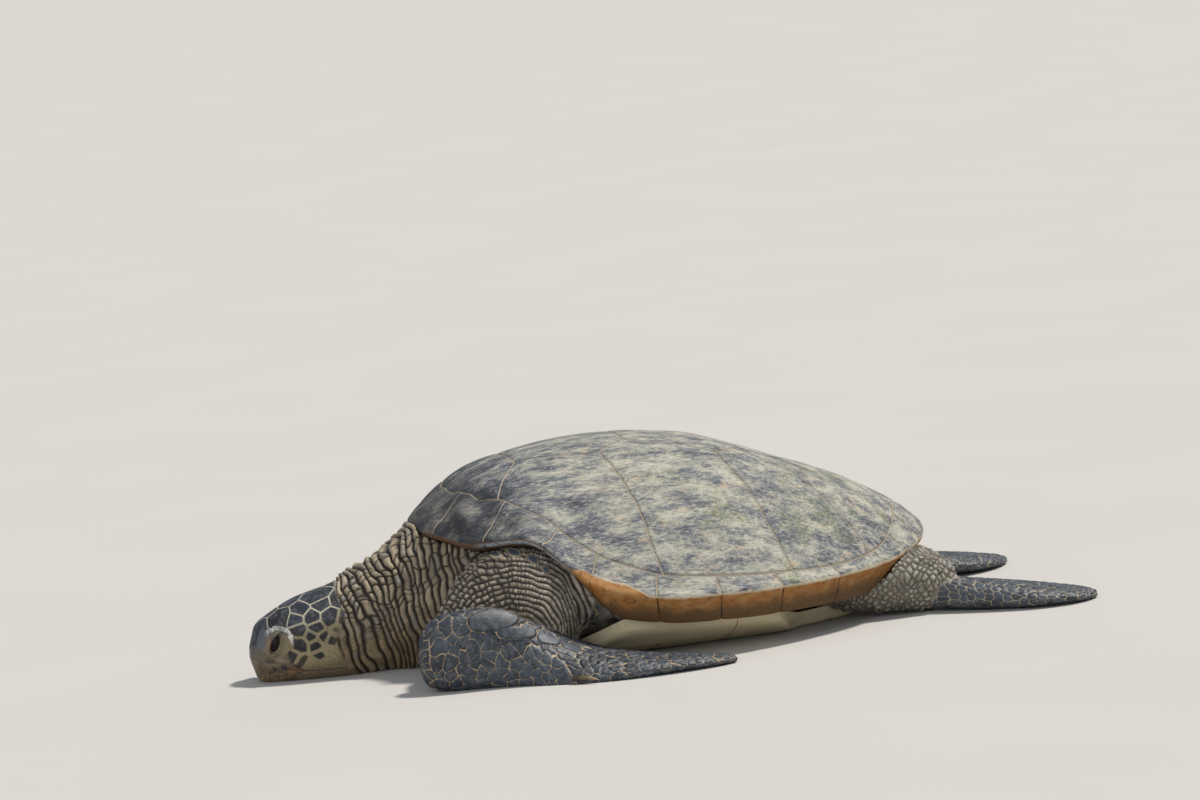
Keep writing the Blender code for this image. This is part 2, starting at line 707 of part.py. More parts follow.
def make_flesh():
    head = new_object("head", make_head(), SKIN, PARTS)
    for side in (-1, 1):
        combine(head, lid_bulge(side), "UNION")
    for side in (-1, 1):
        combine(head, cutter(eye_ball(side, EYE_RADIUS + GAP)), "DIFFERENCE")
        combine(head, lid_opening(side), "DIFFERENCE")
    for line in (MOUTH_LINE, UPPER_BEAK_LINE, LOWER_BEAK_LINE):
        combine(head, head_sheet(line), "DIFFERENCE")
    name_head_parts(head)
    flesh("trunk", make_trunk())
    flesh("neck", make_neck())
    tail = flesh("tail", limb(TAIL, 1))
    combine(tail, cutter(make_trunk(GAP)), "DIFFERENCE")
    for side, word in ((-1, "left"), (1, "right")):
        arm = flesh(f"upper_arm_{word}", limb(UPPER_ARM, side))
        combine(arm, cutter(make_trunk(GAP)), "DIFFERENCE")
        combine(arm, cutter(make_neck(GAP)), "DIFFERENCE")
        hand = new_object(f"hand_{word}", limb(HAND, side), SKIN, PARTS)
        combine(hand, cutter(limb(UPPER_ARM, side, GAP)), "DIFFERENCE")
        thigh = flesh(f"thigh_{word}", limb(THIGH, side))
        combine(thigh, cutter(make_trunk(GAP)), "DIFFERENCE")
        foot = flesh(f"foot_{word}", limb(FOOT, side))
        combine(foot, cutter(limb(THIGH, side, GAP)), "DIFFERENCE")


# ---------------------------------------------------------------- thin cuts
def head_sheet(path, half_width_m=0.1, thickness=GAP):
    """A thin sheet across the head, along a path of (a, b) points."""
    points = [Vector(p) for p in path]
    offsets = []
    for i, p in enumerate(points):
        run = points[min(i + 1, len(points) - 1)] - points[max(i - 1, 0)]
        offsets.append(Vector((-run.y, run.x)).normalized() * thickness / 2)
    loop = ([p + o for p, o in zip(points, offsets)]
            + [p - o for p, o in reversed(list(zip(points, offsets)))])
    rings = [[in_head(p.x, p.y, w) for p in loop] for w in (-half_width_m, half_width_m)]
    return cutter(loft(rings), "head_sheet")


MOUTH_LINE = [(-0.030, -0.0485), (0.000, -0.0500), (0.020, -0.0515), (0.046, -0.0550),
              (0.074, -0.0635), (0.110, -0.0760), (0.150, -0.0830), (0.200, -0.0880)]
UPPER_BEAK_LINE = [(-0.030, -0.0050), (-0.004, -0.0160), (0.0225, -0.0330), (0.0500, -0.0405),
                   (0.0660, -0.0520), (0.0745, -0.0640)]
LOWER_BEAK_LINE = [(0.0700, -0.0615), (0.0480, -0.0690), (0.0270, -0.0740), (0.0180, -0.0900)]


HEAD_SPOTS = {"head": (0.10, 0.0), "lower_jaw": (0.10, -0.085), "beak_upper": (0.012, -0.040),
              "beak_lower": (0.012, -0.058)}


def islands(bm):
    """The connected bodies of a mesh, each as a list of its faces."""
    left, found = set(bm.faces), []
    while left:
        stack, body = [left.pop()], []
        while stack:
            face = stack.pop()
            body.append(face)
            for edge in face.edges:
                for other in edge.link_faces:
                    if other in left:
                        left.discard(other)
                        stack.append(other)
        found.append(body)
    return found


def name_head_parts(head):
    """Makes each connected piece of the parted head its own object."""
    bm = bmesh.new()
    bm.from_mesh(head.data)
    bodies = islands(bm)
    bpy.data.objects.remove(head)
    for name, (a, b) in HEAD_SPOTS.items():
        spot = in_head(a, b)
        chosen = min(bodies, key=lambda faces: distance_outside(faces, spot))
        piece = bmesh.new()
        copies = {}
        for face in chosen:
            for v in face.verts:
                if v not in copies:
                    copies[v] = piece.verts.new(v.co)
            piece.faces.new([copies[v] for v in face.verts])
        new_object(name, piece, HORN if name.startswith("beak") else SKIN, PARTS)
    bm.free()


def distance_outside(faces, point):
    """How far the point is outside the body's box, with the box's own volume to settle ties."""
    corners = [v.co for face in faces for v in face.verts]
    low = [min(c[i] for c in corners) for i in range(3)]
    high = [max(c[i] for c in corners) for i in range(3)]
    outside = sum(max(low[i] - point[i], 0.0, point[i] - high[i]) for i in range(3))
    return outside + math.prod(high[i] - low[i] for i in range(3))


# ---------------------------------------------------------------- eyes and claws
def make_eyes():
    for side, word in ((-1, "left"), (1, "right")):
        new_object(f"eye_{word}", eye_ball(side, EYE_RADIUS), EYE, PARTS)


def make_claw(name, base, tip, radius, sections, side):
    """A horn cone that droops a little, rooted in a flipper's edge and cleared from it."""
    base, tip = Vector(base), Vector(tip)
    along = tip - base
    across = along.cross(Vector((0, 0, 1))).normalized()
    up = across.cross(along).normalized()
    rings = []
    for t, share in ((0.0, 1.0), (0.5, 0.85), (0.8, 0.5), (1.0, 0.12)):
        centre = base + along * t - up * (0.12 * along.length * t * t)
        thick = radius * share
        rings.append(oval(centre, across, up, thick, 0.8 * thick, 0.8 * thick, 2.0, 8))
    claw = new_object(name, grounded(loft(rings)), HORN, PARTS)
    combine(claw, cutter(limb(sections, side, GAP)), "DIFFERENCE")


def make_claws():
    for side, word in ((-1, "left"), (1, "right")):
        make_claw(f"claw_hand_{word}", (-0.272, side * 0.402, 0.0095),
                  (-0.243, side * 0.423, 0.0060), 0.0055, HAND, side)
        make_claw(f"claw_foot_{word}", (0.512, side * 0.262, 0.0140),
                  (0.540, side * 0.283, 0.0065), 0.0052, FOOT, side)


# ---------------------------------------------------------------- scene
def material(name, colour, roughness):
    made = bpy.data.materials.new(name)
    made.use_nodes = True
    shader = made.node_tree.nodes["Principled BSDF"]
    shader.inputs["Base Color"].default_value = (*colour, 1.0)
    shader.inputs["Roughness"].default_value = roughness
    shader.inputs["Metallic"].default_value = 0.0
    return made


def collection(name):
    made = bpy.data.collections.new(name)
    bpy.context.scene.collection.children.link(made)
    return made


for old in list(bpy.data.objects):
    bpy.data.objects.remove(old)
PARTS = collection("sea_turtle")
CUTTERS = collection("cutters")
SHELL = material("carapace", (0.20, 0.20, 0.15), 0.7)
BELLY = material("plastron", (0.55, 0.42, 0.22), 0.6)
SKIN = material("skin", (0.16, 0.14, 0.10), 0.7)
HORN = material("horn", (0.22, 0.15, 0.07), 0.45)
EYE = material("eye", (0.01, 0.01, 0.01), 0.1)

make_vertebrals()
make_costals()
make_rim_scutes()
make_plastron()
make_flesh()
make_eyes()
make_claws()
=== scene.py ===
"""The looks of a life-size green sea turtle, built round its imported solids.

Metres, +Z up. The head points to -X and the left side faces -Y. The shell's formulas and the
flesh's sections are the ones that the solids were made from, drawn here much more finely. Every
scute is a plate of its own, and one skin replaces all the pieces of flesh.
"""
import math

import bmesh
import bpy
import numpy as np
from mathutils import Matrix, Vector


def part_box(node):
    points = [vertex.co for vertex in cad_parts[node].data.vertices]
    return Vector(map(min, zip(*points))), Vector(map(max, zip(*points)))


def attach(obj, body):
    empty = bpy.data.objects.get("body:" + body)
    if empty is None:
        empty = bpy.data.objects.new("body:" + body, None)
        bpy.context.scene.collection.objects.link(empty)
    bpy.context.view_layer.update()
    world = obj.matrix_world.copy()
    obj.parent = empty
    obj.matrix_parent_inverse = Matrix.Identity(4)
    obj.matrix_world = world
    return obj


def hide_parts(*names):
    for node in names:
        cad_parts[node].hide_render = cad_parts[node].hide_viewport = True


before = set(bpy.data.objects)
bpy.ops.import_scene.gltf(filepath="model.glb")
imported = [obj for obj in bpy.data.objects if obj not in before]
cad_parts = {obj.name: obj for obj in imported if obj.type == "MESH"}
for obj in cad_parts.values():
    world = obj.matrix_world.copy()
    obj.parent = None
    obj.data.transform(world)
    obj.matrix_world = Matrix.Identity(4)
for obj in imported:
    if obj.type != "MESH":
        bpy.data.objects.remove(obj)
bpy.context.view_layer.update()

MM = 0.001

# ---------------------------------------------------------------- the shell's own sizes
SHELL_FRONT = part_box("nuchal")[0].x
SHELL_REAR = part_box("supracaudal_left")[1].x
HALF_LENGTH = (SHELL_REAR - SHELL_FRONT) / 2
WIDTH_MAIN = 0.335  # the outline's half width is an ellipse of this size ...
WIDTH_FORWARD = 0.0300  # ... carried forward by a second harmonic ...
WIDTH_BLUNT = -0.002  # ... and a third that shapes the two ends
DOME_FLAT = 2.6
DOME_FLARE = 1.25
SCUTE_THICK = 0.012
RIDGE = [(-0.438, 0.231), (-0.407, 0.262), (-0.358, 0.299), (-0.295, 0.3235), (-0.200, 0.341),
         (-0.109, 0.346), (-0.020, 0.3385), (0.065, 0.3225), (0.174, 0.281), (0.260, 0.2455),
         (0.335, 0.209), (0.399, 0.1675), (0.438, 0.126)]
RIM = [(-0.438, 0.228), (-0.370, 0.227), (-0.305, 0.223), (-0.258, 0.184), (-0.209, 0.136),
       (-0.112, 0.110), (0.000, 0.101), (0.120, 0.096), (0.223, 0.095), (0.327, 0.0985),
       (0.400, 0.111), (0.438, 0.125)]
SEAM_SHARE = [(-0.438, 0.860), (-0.250, 0.862), (-0.190, 0.882), (-0.110, 0.905), (0.000, 0.922),
              (0.150, 0.940), (0.240, 0.953), (0.300, 0.950), (0.350, 0.938), (0.400, 0.905),
              (0.438, 0.895)]
LIP_DROP = [(-0.438, 0.0), (-0.430, 0.001), (-0.411, 0.005), (-0.393, 0.011), (-0.372, 0.010),
            (-0.345, 0.006), (-0.315, 0.002), (-0.290, 0.0), (0.438, 0.0)]
VERTEBRAL_ENDS = [(-0.269, 0.070), (-0.078, 0.067), (0.118, 0.063), (0.270, 0.044)]
VERTEBRAL_CORNERS = [(-0.131, 0.115), (0.063, 0.110), (0.183, 0.100)]
FIRST_CORNER_X = -0.326
COSTAL_FEET_X = [-0.093, 0.132, 0.289]
LAST_CORNER_X = 0.350
RIM_SCUTES = [0.095, 0.125, 0.108, 0.072, 0.105, 0.106, 0.112, 0.118, 0.110, 0.072, 0.062, 0.056,
              0.052]
SEAM_HALF_GAP = 0.08 * MM  # half the slit between two scutes

# The seams' grooves: a narrow one in a wide shallow one.
NARROW_DEPTH, NARROW_REACH = 1.3 * MM, 1.5 * MM
WIDE_DEPTH, WIDE_REACH = 1.5 * MM, 7.0 * MM
SEAM_WANDER = 3.2 * MM  # how far the seams wander from the solids' straight ones


# ---------------------------------------------------------------- numbers
def smooth(stations):
    """A cubic through rows of (x, values ...), with the slopes of Catmull and Rom."""
    table = np.array(stations, float)
    xs, values = table[:, 0], table[:, 1:]
    low = np.maximum(np.arange(len(xs)) - 1, 0)
    high = np.minimum(np.arange(len(xs)) + 1, len(xs) - 1)
    slopes = (values[high] - values[low]) / (xs[high] - xs[low])[:, None]

    def value(x):
        x = np.clip(np.asarray(x, float), xs[0], xs[-1])
        i = np.clip(np.searchsorted(xs, x, side="right") - 1, 0, len(xs) - 2)
        h = (xs[i + 1] - xs[i])[..., None]
        t = (x - xs[i])[..., None] / h
        found = (values[i] * (1 + 2 * t) * (1 - t) ** 2 + slopes[i] * h * t * (1 - t) ** 2
                 + values[i + 1] * t * t * (3 - 2 * t) - slopes[i + 1] * h * t * t * (1 - t))
        return found[..., 0] if values.shape[1] == 1 else found

    return value


def step(low, high, x):
    """0 below low, 1 above high, and a smooth rise between."""
    t = np.clip((x - low) / (high - low), 0.0, 1.0)
    return t * t * (3 - 2 * t)


def ripple(points, wavelength, seed, waves=7):
    """A smooth random field of about -1 to 1 over points: a few plane waves added up."""
    rng = np.random.default_rng(seed)
    total = 0.0
    for _ in range(waves):
        direction = rng.normal(size=points.shape[-1])
        direction *= 2 * math.pi / (wavelength * rng.uniform(0.7, 1.6) * np.linalg.norm(direction))
        total = total + np.sin(points @ direction + rng.uniform(0, 2 * math.pi))
    return total * (1.4 / waves ** 0.5) / 1.6


def run_along(points):
    """Metres travelled from the first of a row of points to each of them."""
    return np.concatenate([[0.0], np.cumsum(np.linalg.norm(np.diff(points, axis=0), axis=1))])


def roundness(a, b, power):
    """1 on the superellipse of half widths 1, and in proportion inside and outside it."""
    return (np.abs(a) ** power + np.abs(b) ** power) ** (1 / power)


def bell(x, reach):
    """1 at x = 0, falling smoothly to almost nothing at twice the reach on either side."""
    return np.exp(-(x / reach) ** 2)


def hashed(i, j, seed):
    """Two random numbers of 0 to 1 for each cell of a lattice."""
    a = np.sin(i * 127.1 + j * 311.7 + seed * 74.7) * 43758.5453
    b = np.sin(i * 269.5 + j * 183.3 + seed * 51.3) * 28001.8384
    return a - np.floor(a), b - np.floor(b)


def cells(u, v, size_u, size_v, period, jitter, seed):
    """Scales on a jittered brick lattice: metres to the nearest border, and each scale's number.

    u and v count scales, size_u and size_v are a scale's size in metres, and v repeats after
    `period` scales.
    """
    sites = []
    row = np.floor(u)
    for di in (-1, 0, 1):
        i = row + di
        shift = 0.5 * np.mod(i, 2)
        column = np.floor(v - shift)
        for dj in (-1, 0, 1):
            j = column + dj
            ru, rv = hashed(i, np.mod(j, period), seed)
            du = (i + 0.5 + jitter * (ru - 0.5) - u) * size_u
            dv = (j + 0.5 + shift + jitter * (rv - 0.5) - v) * size_v
            sites.append((du, dv, ru))
    du = np.stack([s[0] for s in sites])
    dv = np.stack([s[1] for s in sites])
    number = np.stack([s[2] for s in sites])
    nearest = np.argmin(du * du + dv * dv, axis=0)[None]
    nu, nv = np.take_along_axis(du, nearest, 0), np.take_along_axis(dv, nearest, 0)
    gu, gv = du - nu, dv - nv
    gap = np.sqrt(gu * gu + gv * gv)
    border = ((nu + du) / 2 * gu + (nv + dv) / 2 * gv) / np.maximum(gap, 1e-9)
    border[gap < 1e-7] = 1.0
    return border.min(axis=0), np.take_along_axis(number, nearest, 0)[0]


def rows_of_beads(u, v, row_size, bead_size, period, seed, jitter=0.7):
    """Beads in rows: metres to the row's border, metres to the bead's border, and its number.

    u counts rows and v counts beads, which repeat after `period`.
    """
    row = np.floor(u)
    place = v + 5 * hashed(row, 0 * row, seed)[0]

    def border(j):
        return j + jitter * (hashed(row, np.mod(j, period), seed + 1)[0] - 0.5)

    bead = np.floor(place)
    bead = np.where(place < border(bead), bead - 1, bead)
    bead = np.where(place >= border(bead + 1), bead + 1, bead)
    to_bead = np.minimum(place - border(bead), border(bead + 1) - place) * bead_size
    to_row = np.minimum(u - row, row + 1 - u) * row_size
    return to_row, to_bead, hashed(row, np.mod(bead, period), seed + 2)[1]


def nearer(a, b):
    """The smaller of two distances, with rounded corners where they are alike."""
    a, b = np.maximum(a, 1e-6), np.maximum(b, 1e-6)
    return (a ** -2.5 + b ** -2.5) ** (-1 / 2.5)


def hump(distance, reach):
    """A rounded rise from 0 at a border to 1 at `reach` metres inside it."""
    return 1 - (1 - np.clip(distance / reach, 0, 1)) ** 2.2


# ---------------------------------------------------------------- the shell's surface
ridge_z = smooth(RIDGE)
rim_z = smooth(RIM)
lip_drop = smooth(LIP_DROP)
seam_share = smooth(SEAM_SHARE)


def outline(phi):
    """Points (x, w) of the plan outline, phi from 0 at the nape to pi at the tail."""
    w = (WIDTH_MAIN * np.sin(phi) + WIDTH_FORWARD * np.sin(2 * phi)
         + WIDTH_BLUNT * np.sin(3 * phi))
    return np.stack([-HALF_LENGTH * np.cos(phi), np.maximum(w, 0.0)], axis=-1)


def half_width(x):
    share = np.clip(-x / HALF_LENGTH, -1.0, 1.0)
    return np.maximum(outline(np.arccos(share))[..., 1], 1e-4)


def dome_z(x, w):
    q = np.minimum(np.abs(w) / half_width(x), 1.0)
    low, high = rim_z(x), ridge_z(x)
    return low + (high - low) * (1 - q ** DOME_FLAT) ** DOME_FLARE


def dome(x, w):
    return np.stack([x, w, dome_z(x, w)], axis=-1)


def dome_normal(x, w, reach=0.004):
    limit = 0.90 * half_width(x)
    w = np.clip(w, -limit, limit)
    along = dome(x + reach, w) - dome(x - reach, w)
    across = dome(x, w + reach) - dome(x, w - reach)
    normal = np.cross(along, across)
    return normal / np.linalg.norm(normal, axis=-1, keepdims=True)


def seam_point(phi):
    rim = outline(phi)
    return rim * seam_share(rim[..., :1])


def seam_phi(x):
    """The phi at which the seam ring reaches this x, by halving."""
    low, high = 0.0, math.pi
    for _ in range(30):
        middle = (low + high) / 2
        if seam_point(np.array(middle))[0] < x:
            low = middle
        else:
            high = middle
    return low


def rim_phis():
    """The phi of each seam between the rim scutes, from the nuchal back, by length along the rim."""
    phis = np.linspace(0.0, math.pi, 401)
    rim = outline(phis)
    length = run_along(rim)
    goals = np.cumsum(RIM_SCUTES[:-1]) * length[-1] / sum(RIM_SCUTES)
    found = [phis[np.argmin(np.abs(length - goal))] for goal in goals]
    return found + [math.pi]


def wander(points):
    """How far the seams and streaks of the shell stray in plan, as (x, w) shifts for (x, y) points."""
    q = np.minimum(np.abs(points[..., 1]) / half_width(points[..., 0]), 1.0)
    inward = step(0.0, 0.35, 1 - q)[..., None] * SEAM_WANDER
    nearby = np.stack([ripple(points, 0.085, seed) for seed in (3, 4)], axis=-1)
    fine = np.stack([ripple(points, 0.024, seed) for seed in (5, 6)], axis=-1)
    return inward * (nearby + 0.22 * fine)


# Bumps of the shell: x, distance from the midline, reach along, reach across, height.
SHELL_BUMPS = [
    (-0.250, 0.180, 0.060, 0.050, 0.0025),
    (0.020, 0.190, 0.070, 0.060, 0.0025),
    (0.200, 0.130, 0.060, 0.050, 0.0020),
]


# The boss on the first left marginal and the furrows round it; the right flank has a faint one.
BOSS = [
    (-0.382, 0.148, 0.018, 0.028, 0.0300),
    (-0.402, 0.100, 0.014, 0.020, -0.0070),
    (-0.348, 0.128, 0.012, 0.030, -0.0070),
    (-0.345, 0.190, 0.014, 0.022, -0.0050),
    (-0.318, 0.200, 0.020, 0.026, 0.0040),
]
RIGHT_BOSS_SHARE = 0.12


def bumps(x, w, table):
    """The height of a table's bumps over each point."""
    return sum(height * bell(x - bump_x, reach_x) * bell(np.abs(w) - bump_w, reach_w)
               for bump_x, bump_w, reach_x, reach_w, height in table)


def shell_swell(x, w):
    """The bosses and gentle unevenness of the shell, along its normal; w is below 0 on the left."""
    swell = 0.8 * MM * ripple(np.stack([x, w], axis=-1), 0.11, 11)
    flank = np.where(w < 0, 1.0, RIGHT_BOSS_SHARE)
    return swell + bumps(x, w, SHELL_BUMPS) + flank * bumps(x, w, BOSS)


def groove(edge):
    """How deep the shell dips at this distance from a seam."""
    return NARROW_DEPTH * bell(edge, NARROW_REACH) + WIDE_DEPTH * np.exp(-edge / WIDE_REACH)


def distance_to_loop(points, loop):
    """Metres from each point to a closed polyline."""
    a, b = loop, np.roll(loop, -1, axis=0)
    run = b - a
    squared = np.maximum((run * run).sum(-1), 1e-14)
    best = np.full(len(points), 1e9)
    for start in range(0, len(points), 2000):
        part = points[start:start + 2000, None, :]
        t = np.clip(((part - a) * run).sum(-1) / squared, 0.0, 1.0)
        gap = part - (a + run * t[..., None])
        best[start:start + 2000] = np.sqrt((gap * gap).sum(-1).min(axis=1))
    return best


# ---------------------------------------------------------------- meshes
def placed(name, data):
    """A new object of the scene with this mesh, light or camera."""
    obj = bpy.data.objects.new(name, data)
    bpy.context.scene.collection.objects.link(obj)
    return obj


def new_piece(name, verts, faces, attributes=()):
    """A mesh object with smooth faces and float attributes on its points."""
    mesh = bpy.data.meshes.new(name)
    mesh.from_pydata([tuple(v) for v in verts], [], faces)
    obj = placed(name, mesh)
    for key, values in dict(attributes).items():
        set_attribute(mesh, key, values)
    bm = bmesh.new()
    bm.from_mesh(mesh)
    bmesh.ops.recalc_face_normals(bm, faces=bm.faces)
    bm.to_mesh(mesh)
    bm.free()
    mesh.shade_smooth()
    mesh.set_sharp_from_angle(angle=math.radians(60))
    return obj


def set_attribute(mesh, name, values):
    layer = mesh.attributes.get(name) or mesh.attributes.new(name, "FLOAT", "POINT")
    layer.data.foreach_set("value", np.ascontiguousarray(values, np.float32).ravel())


def read_vectors(mesh, key="co"):
    flat = np.empty(len(mesh.vertices) * 3, np.float32)
    mesh.vertices.foreach_get(key, flat)
    return flat.reshape(-1, 3).astype(float)


def write_points(mesh, points):
    mesh.vertices.foreach_set("co", np.ascontiguousarray(points, np.float32).ravel())
    mesh.update()


def finish_piece(obj, material, slot, *nodes):
    """Gives a piece its material, hangs it on the root and hides the solids that it stands for."""
    obj.data.materials.clear()
    obj.data.materials.append(material)
    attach(obj, "root")
    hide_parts(*nodes)
    return obj


# ---------------------------------------------------------------- scutes
BORDER_ROWS = np.array([0.0, 0.35, 0.8, 1.4, 2.1, 3.0, 4.2, 6.0, 8.5]) * MM
PLATE_STEP = 3.4 * MM


def spaced(length, spacing=PLATE_STEP):
    """Places from 0 to 1 along this length, close together near both ends."""
    inner = np.linspace(BORDER_ROWS[-1], length - BORDER_ROWS[-1],
                        max(int((length - 2 * BORDER_ROWS[-1]) / spacing), 2) + 1)
    rows = np.concatenate([BORDER_ROWS[:-1], inner, length - BORDER_ROWS[-2::-1]])
    return rows / length


def sparse(count):
    """Every sixth of `count` rows, with the last."""
    return list(range(0, count - 1, 6)) + [count - 1]


def plate(name, top, down, attributes):
    """A closed plate: a fine top grid, a sparse under face dropped by `down`, and walls."""
    rows, columns = top.shape[:2]
    keep_r, keep_c = sparse(rows), sparse(columns)
    below = (top + down)[np.ix_(keep_r, keep_c)]
    base = rows * columns
    verts = np.concatenate([top.reshape(-1, 3), below.reshape(-1, 3)])
    upper = np.arange(base).reshape(rows, columns)
    lower = base + np.arange(len(keep_r) * len(keep_c)).reshape(len(keep_r), len(keep_c))
    faces = quads(upper) + quads(lower[::-1])
    walls = [(upper[0], lower[0], keep_c), (upper[-1], lower[-1], keep_c),
             (upper[:, 0], lower[:, 0], keep_r), (upper[:, -1], lower[:, -1], keep_r)]
    for edge, foot, keep in walls:
        for k in range(len(keep) - 1):
            stretch = edge[keep[k]:keep[k + 1] + 1].tolist()
            faces.append(stretch + [int(foot[k + 1]), int(foot[k])])
    grid = np.ix_(keep_r, keep_c)
    full = {key: np.concatenate([values.ravel(), values[grid].ravel()])
            for key, values in attributes.items()}
    return new_piece(name, verts, faces, full)


def quads(index):
    """The faces of a grid of point numbers."""
    return np.stack([index[:-1, :-1], index[1:, :-1], index[1:, 1:], index[:-1, 1:]],
                    axis=-1).reshape(-1, 4).tolist()


def tube(rings, around):
    """The faces round a row of closed rings, and the first and the last ring's point numbers."""
    index = np.arange(rings * around).reshape(rings, around)
    faces = quads(np.concatenate([index, index[:, :1]], axis=1))
    return faces, index[0].tolist(), index[-1].tolist()


def along_path(path, t):
    """Points at t of a polyline, with an equal share of t for each segment."""
    path = np.array(path, float)
    place = np.minimum(t, 1 - 1e-9) * (len(path) - 1)
    i = place.astype(int)
    return path[i] + (path[i + 1] - path[i]) * (place - i)[..., None]


def patch(front, rear, inner, outer, u, v):
    """A transfinite map of a grid (u, v) onto the plan patch between four edges."""
    zero, one = np.array([0.0]), np.array([1.0])
    corner = [front(zero)[0], front(one)[0], rear(zero)[0], rear(one)[0]]
    u, v = u[:, None, None], v[None, :, None]
    ruled = (front(v[0, :, 0])[None] * (1 - u) + rear(v[0, :, 0])[None] * u
             + inner(u[:, 0, 0])[:, None] * (1 - v) + outer(u[:, 0, 0])[:, None] * v)
    bilinear = (corner[0] * (1 - u) * (1 - v) + corner[1] * (1 - u) * v
                + corner[2] * u * (1 - v) + corner[3] * u * v)
    return ruled - bilinear


def lay_scute(name, edges, side, tone):
    """A scute on the dome inside four plan edges, with its grooved border."""
    middle = np.array([0.5])
    long_way = np.linalg.norm(edges[1](middle) - edges[0](middle))
    wide_way = np.linalg.norm(edges[3](middle) - edges[2](middle))
    plan = patch(*edges, spaced(max(long_way, 0.06)), spaced(max(wide_way, 0.06) * 1.15))
    centre = plan.mean(axis=(0, 1))
    reach = np.linalg.norm(plan - centre, axis=-1).max()
    plan = centre + (plan - centre) * (1 - SEAM_HALF_GAP / reach * 1.6)
    plan = plan * np.array([1.0, side])
    plan = plan + wander(plan)
    x, w = plan[..., 0], plan[..., 1]
    top = dome(x, w)
    normal = dome_normal(x, w)
    loop = np.concatenate([top[0], top[1:, -1], top[-1, -2::-1], top[-2:0:-1, 0]])
    edge = distance_to_loop(top.reshape(-1, 3), loop).reshape(x.shape)
    lift = shell_swell(x, w) - groove(edge)
    top = top + normal * lift[..., None]
    facts = {"edge": edge, "tone": np.full(x.shape, tone), "lip": np.full(x.shape, -0.2)}
    return plate(name, top, -normal * (SCUTE_THICK - 2.5 * MM), facts)


def vertebral_edges():
    first_corner = seam_point(np.array(seam_phi(FIRST_CORNER_X)))
    last_corner = seam_point(np.array(seam_phi(LAST_CORNER_X)))
    ends = [first_corner] + [np.array(p) for p in VERTEBRAL_ENDS] + [last_corner]
    corners = [None] + [np.array(p) for p in VERTEBRAL_CORNERS] + [None]
    mirror = np.array([1.0, -1.0])
    for i in range(5):
        a, b, corner = ends[i], ends[i + 1], corners[i]
        right = [a, b] if corner is None else [a, corner, b]
        left = [p * mirror for p in right]
        front = straight(a * mirror, a)
        rear = straight(b * mirror, b)
        if i == 0:
            front = ring_across(seam_phi(a[0]), 0.0)
        if i == 4:
            rear = ring_across(math.pi - seam_phi(b[0]), math.pi)
        yield front, rear, path_edge(left), path_edge(right)


def straight(a, b):
    a, b = np.array(a, float), np.array(b, float)
    return lambda t: a + (b - a) * np.asarray(t)[..., None]


def path_edge(path):
    return lambda t: along_path(path, np.asarray(t))


def ring_across(reach, end):
    """The seam ring across the nape (end 0) or the tail (end pi), from left to right."""
    def edge(t):
        turn = 2 * np.asarray(t) - 1
        found = seam_point(np.abs(end - np.abs(turn) * reach))
        return found * np.stack([np.ones_like(turn), np.where(turn < 0, -1.0, 1.0)], axis=-1)

    return edge


def ring_along(x0, x1):
    """The seam ring from x0 to x1, on the +w side."""
    p0, p1 = seam_phi(x0), seam_phi(x1)
    return lambda t: seam_point(p0 + (p1 - p0) * np.asarray(t))


def costal_edges():
    tops = [np.array(p) for p in VERTEBRAL_CORNERS]
    ends = [np.array(p) for p in VERTEBRAL_ENDS]
    feet = [FIRST_CORNER_X] + COSTAL_FEET_X + [LAST_CORNER_X]
    inner = [[ends[0], tops[0]], [tops[0], ends[1], tops[1]], [tops[1], ends[2], tops[2]],
             [tops[2], ends[3]]]
    for i in range(4):
        foot = ring_along(feet[i], feet[i + 1])
        start, stop = foot(np.array([0.0]))[0], foot(np.array([1.0]))[0]
        yield straight(inner[i][0], start), straight(inner[i][-1], stop), path_edge(inner[i]), foot


def make_scutes(material):
    for i, edges in enumerate(vertebral_edges()):
        name = f"vertebral_{i + 1}"
        piece = lay_scute(f"scute_{name}", edges, 1, 0.17 * i % 1)
        finish_piece(piece, material, "carapace", name)
    for i, edges in enumerate(costal_edges()):
        for side, word in ((-1, "left"), (1, "right")):
            name = f"costal_{word}_{i + 1}"
            piece = lay_scute(f"scute_{name}", edges, side, (0.31 * i + 0.5 * side) % 1)
            finish_piece(piece, material, "carapace", name)


# ---------------------------------------------------------------- rim scutes
def bridge_share(x):
    """1 where the plastron's bridge joins the rim, 0 ahead of it and behind it."""
    return step(-0.26, -0.18, x) * (1 - step(0.16, 0.24, x))


def skirt_share(x):
    """1 along the flanks, where the rim's outer face hangs deep, 0 at the shoulder and the tail."""
    return step(-0.25, -0.17, x) * (1 - step(0.29, 0.385, x))


SKIRT = 0.018  # how much deeper the rim's outer face hangs along the flanks
UNDER_SHARE = 0.868  # where the rim's under face ends, as a share of the way out to the rim ...
BRIDGE_INSET = 0.005  # ... less this beside the bridge
UNDER_DROP = 0.020  # and how far below the rim's edge that is ...
BRIDGE_DROP = 0.016  # ... with this more beside the bridge
EDGE_ROUND = 0.008  # the height of the rim's rounded edge
TOP_END = 0.992  # where the rim's top face ends and that edge begins, as a share of the way out
RIM_SWELL = 0.0056  # how far the top face swells over the dome's own surface
FACE_BULGE = 0.008  # how far the middle of the outer face bulges, as a share of the way out
FACE_SAG = 0.003  # ... and how far it sags
TOP_START = [0.0, 0.008, 0.02, 0.035, 0.055, 0.08]  # shares of the top, close together at the seam
TOP_SAMPLES = 30
LIP_SAMPLES = 30


def rim_heights(x):
    """Where the rim is at x: its height, its skirt, and the share and height of its under face."""
    z = rim_z(x) - lip_drop(x)
    bridge = bridge_share(x)
    skirt = SKIRT * skirt_share(x)
    inner = UNDER_SHARE - BRIDGE_INSET * bridge
    return z, skirt, inner, z - UNDER_DROP - BRIDGE_DROP * bridge - skirt * (1 - bridge)


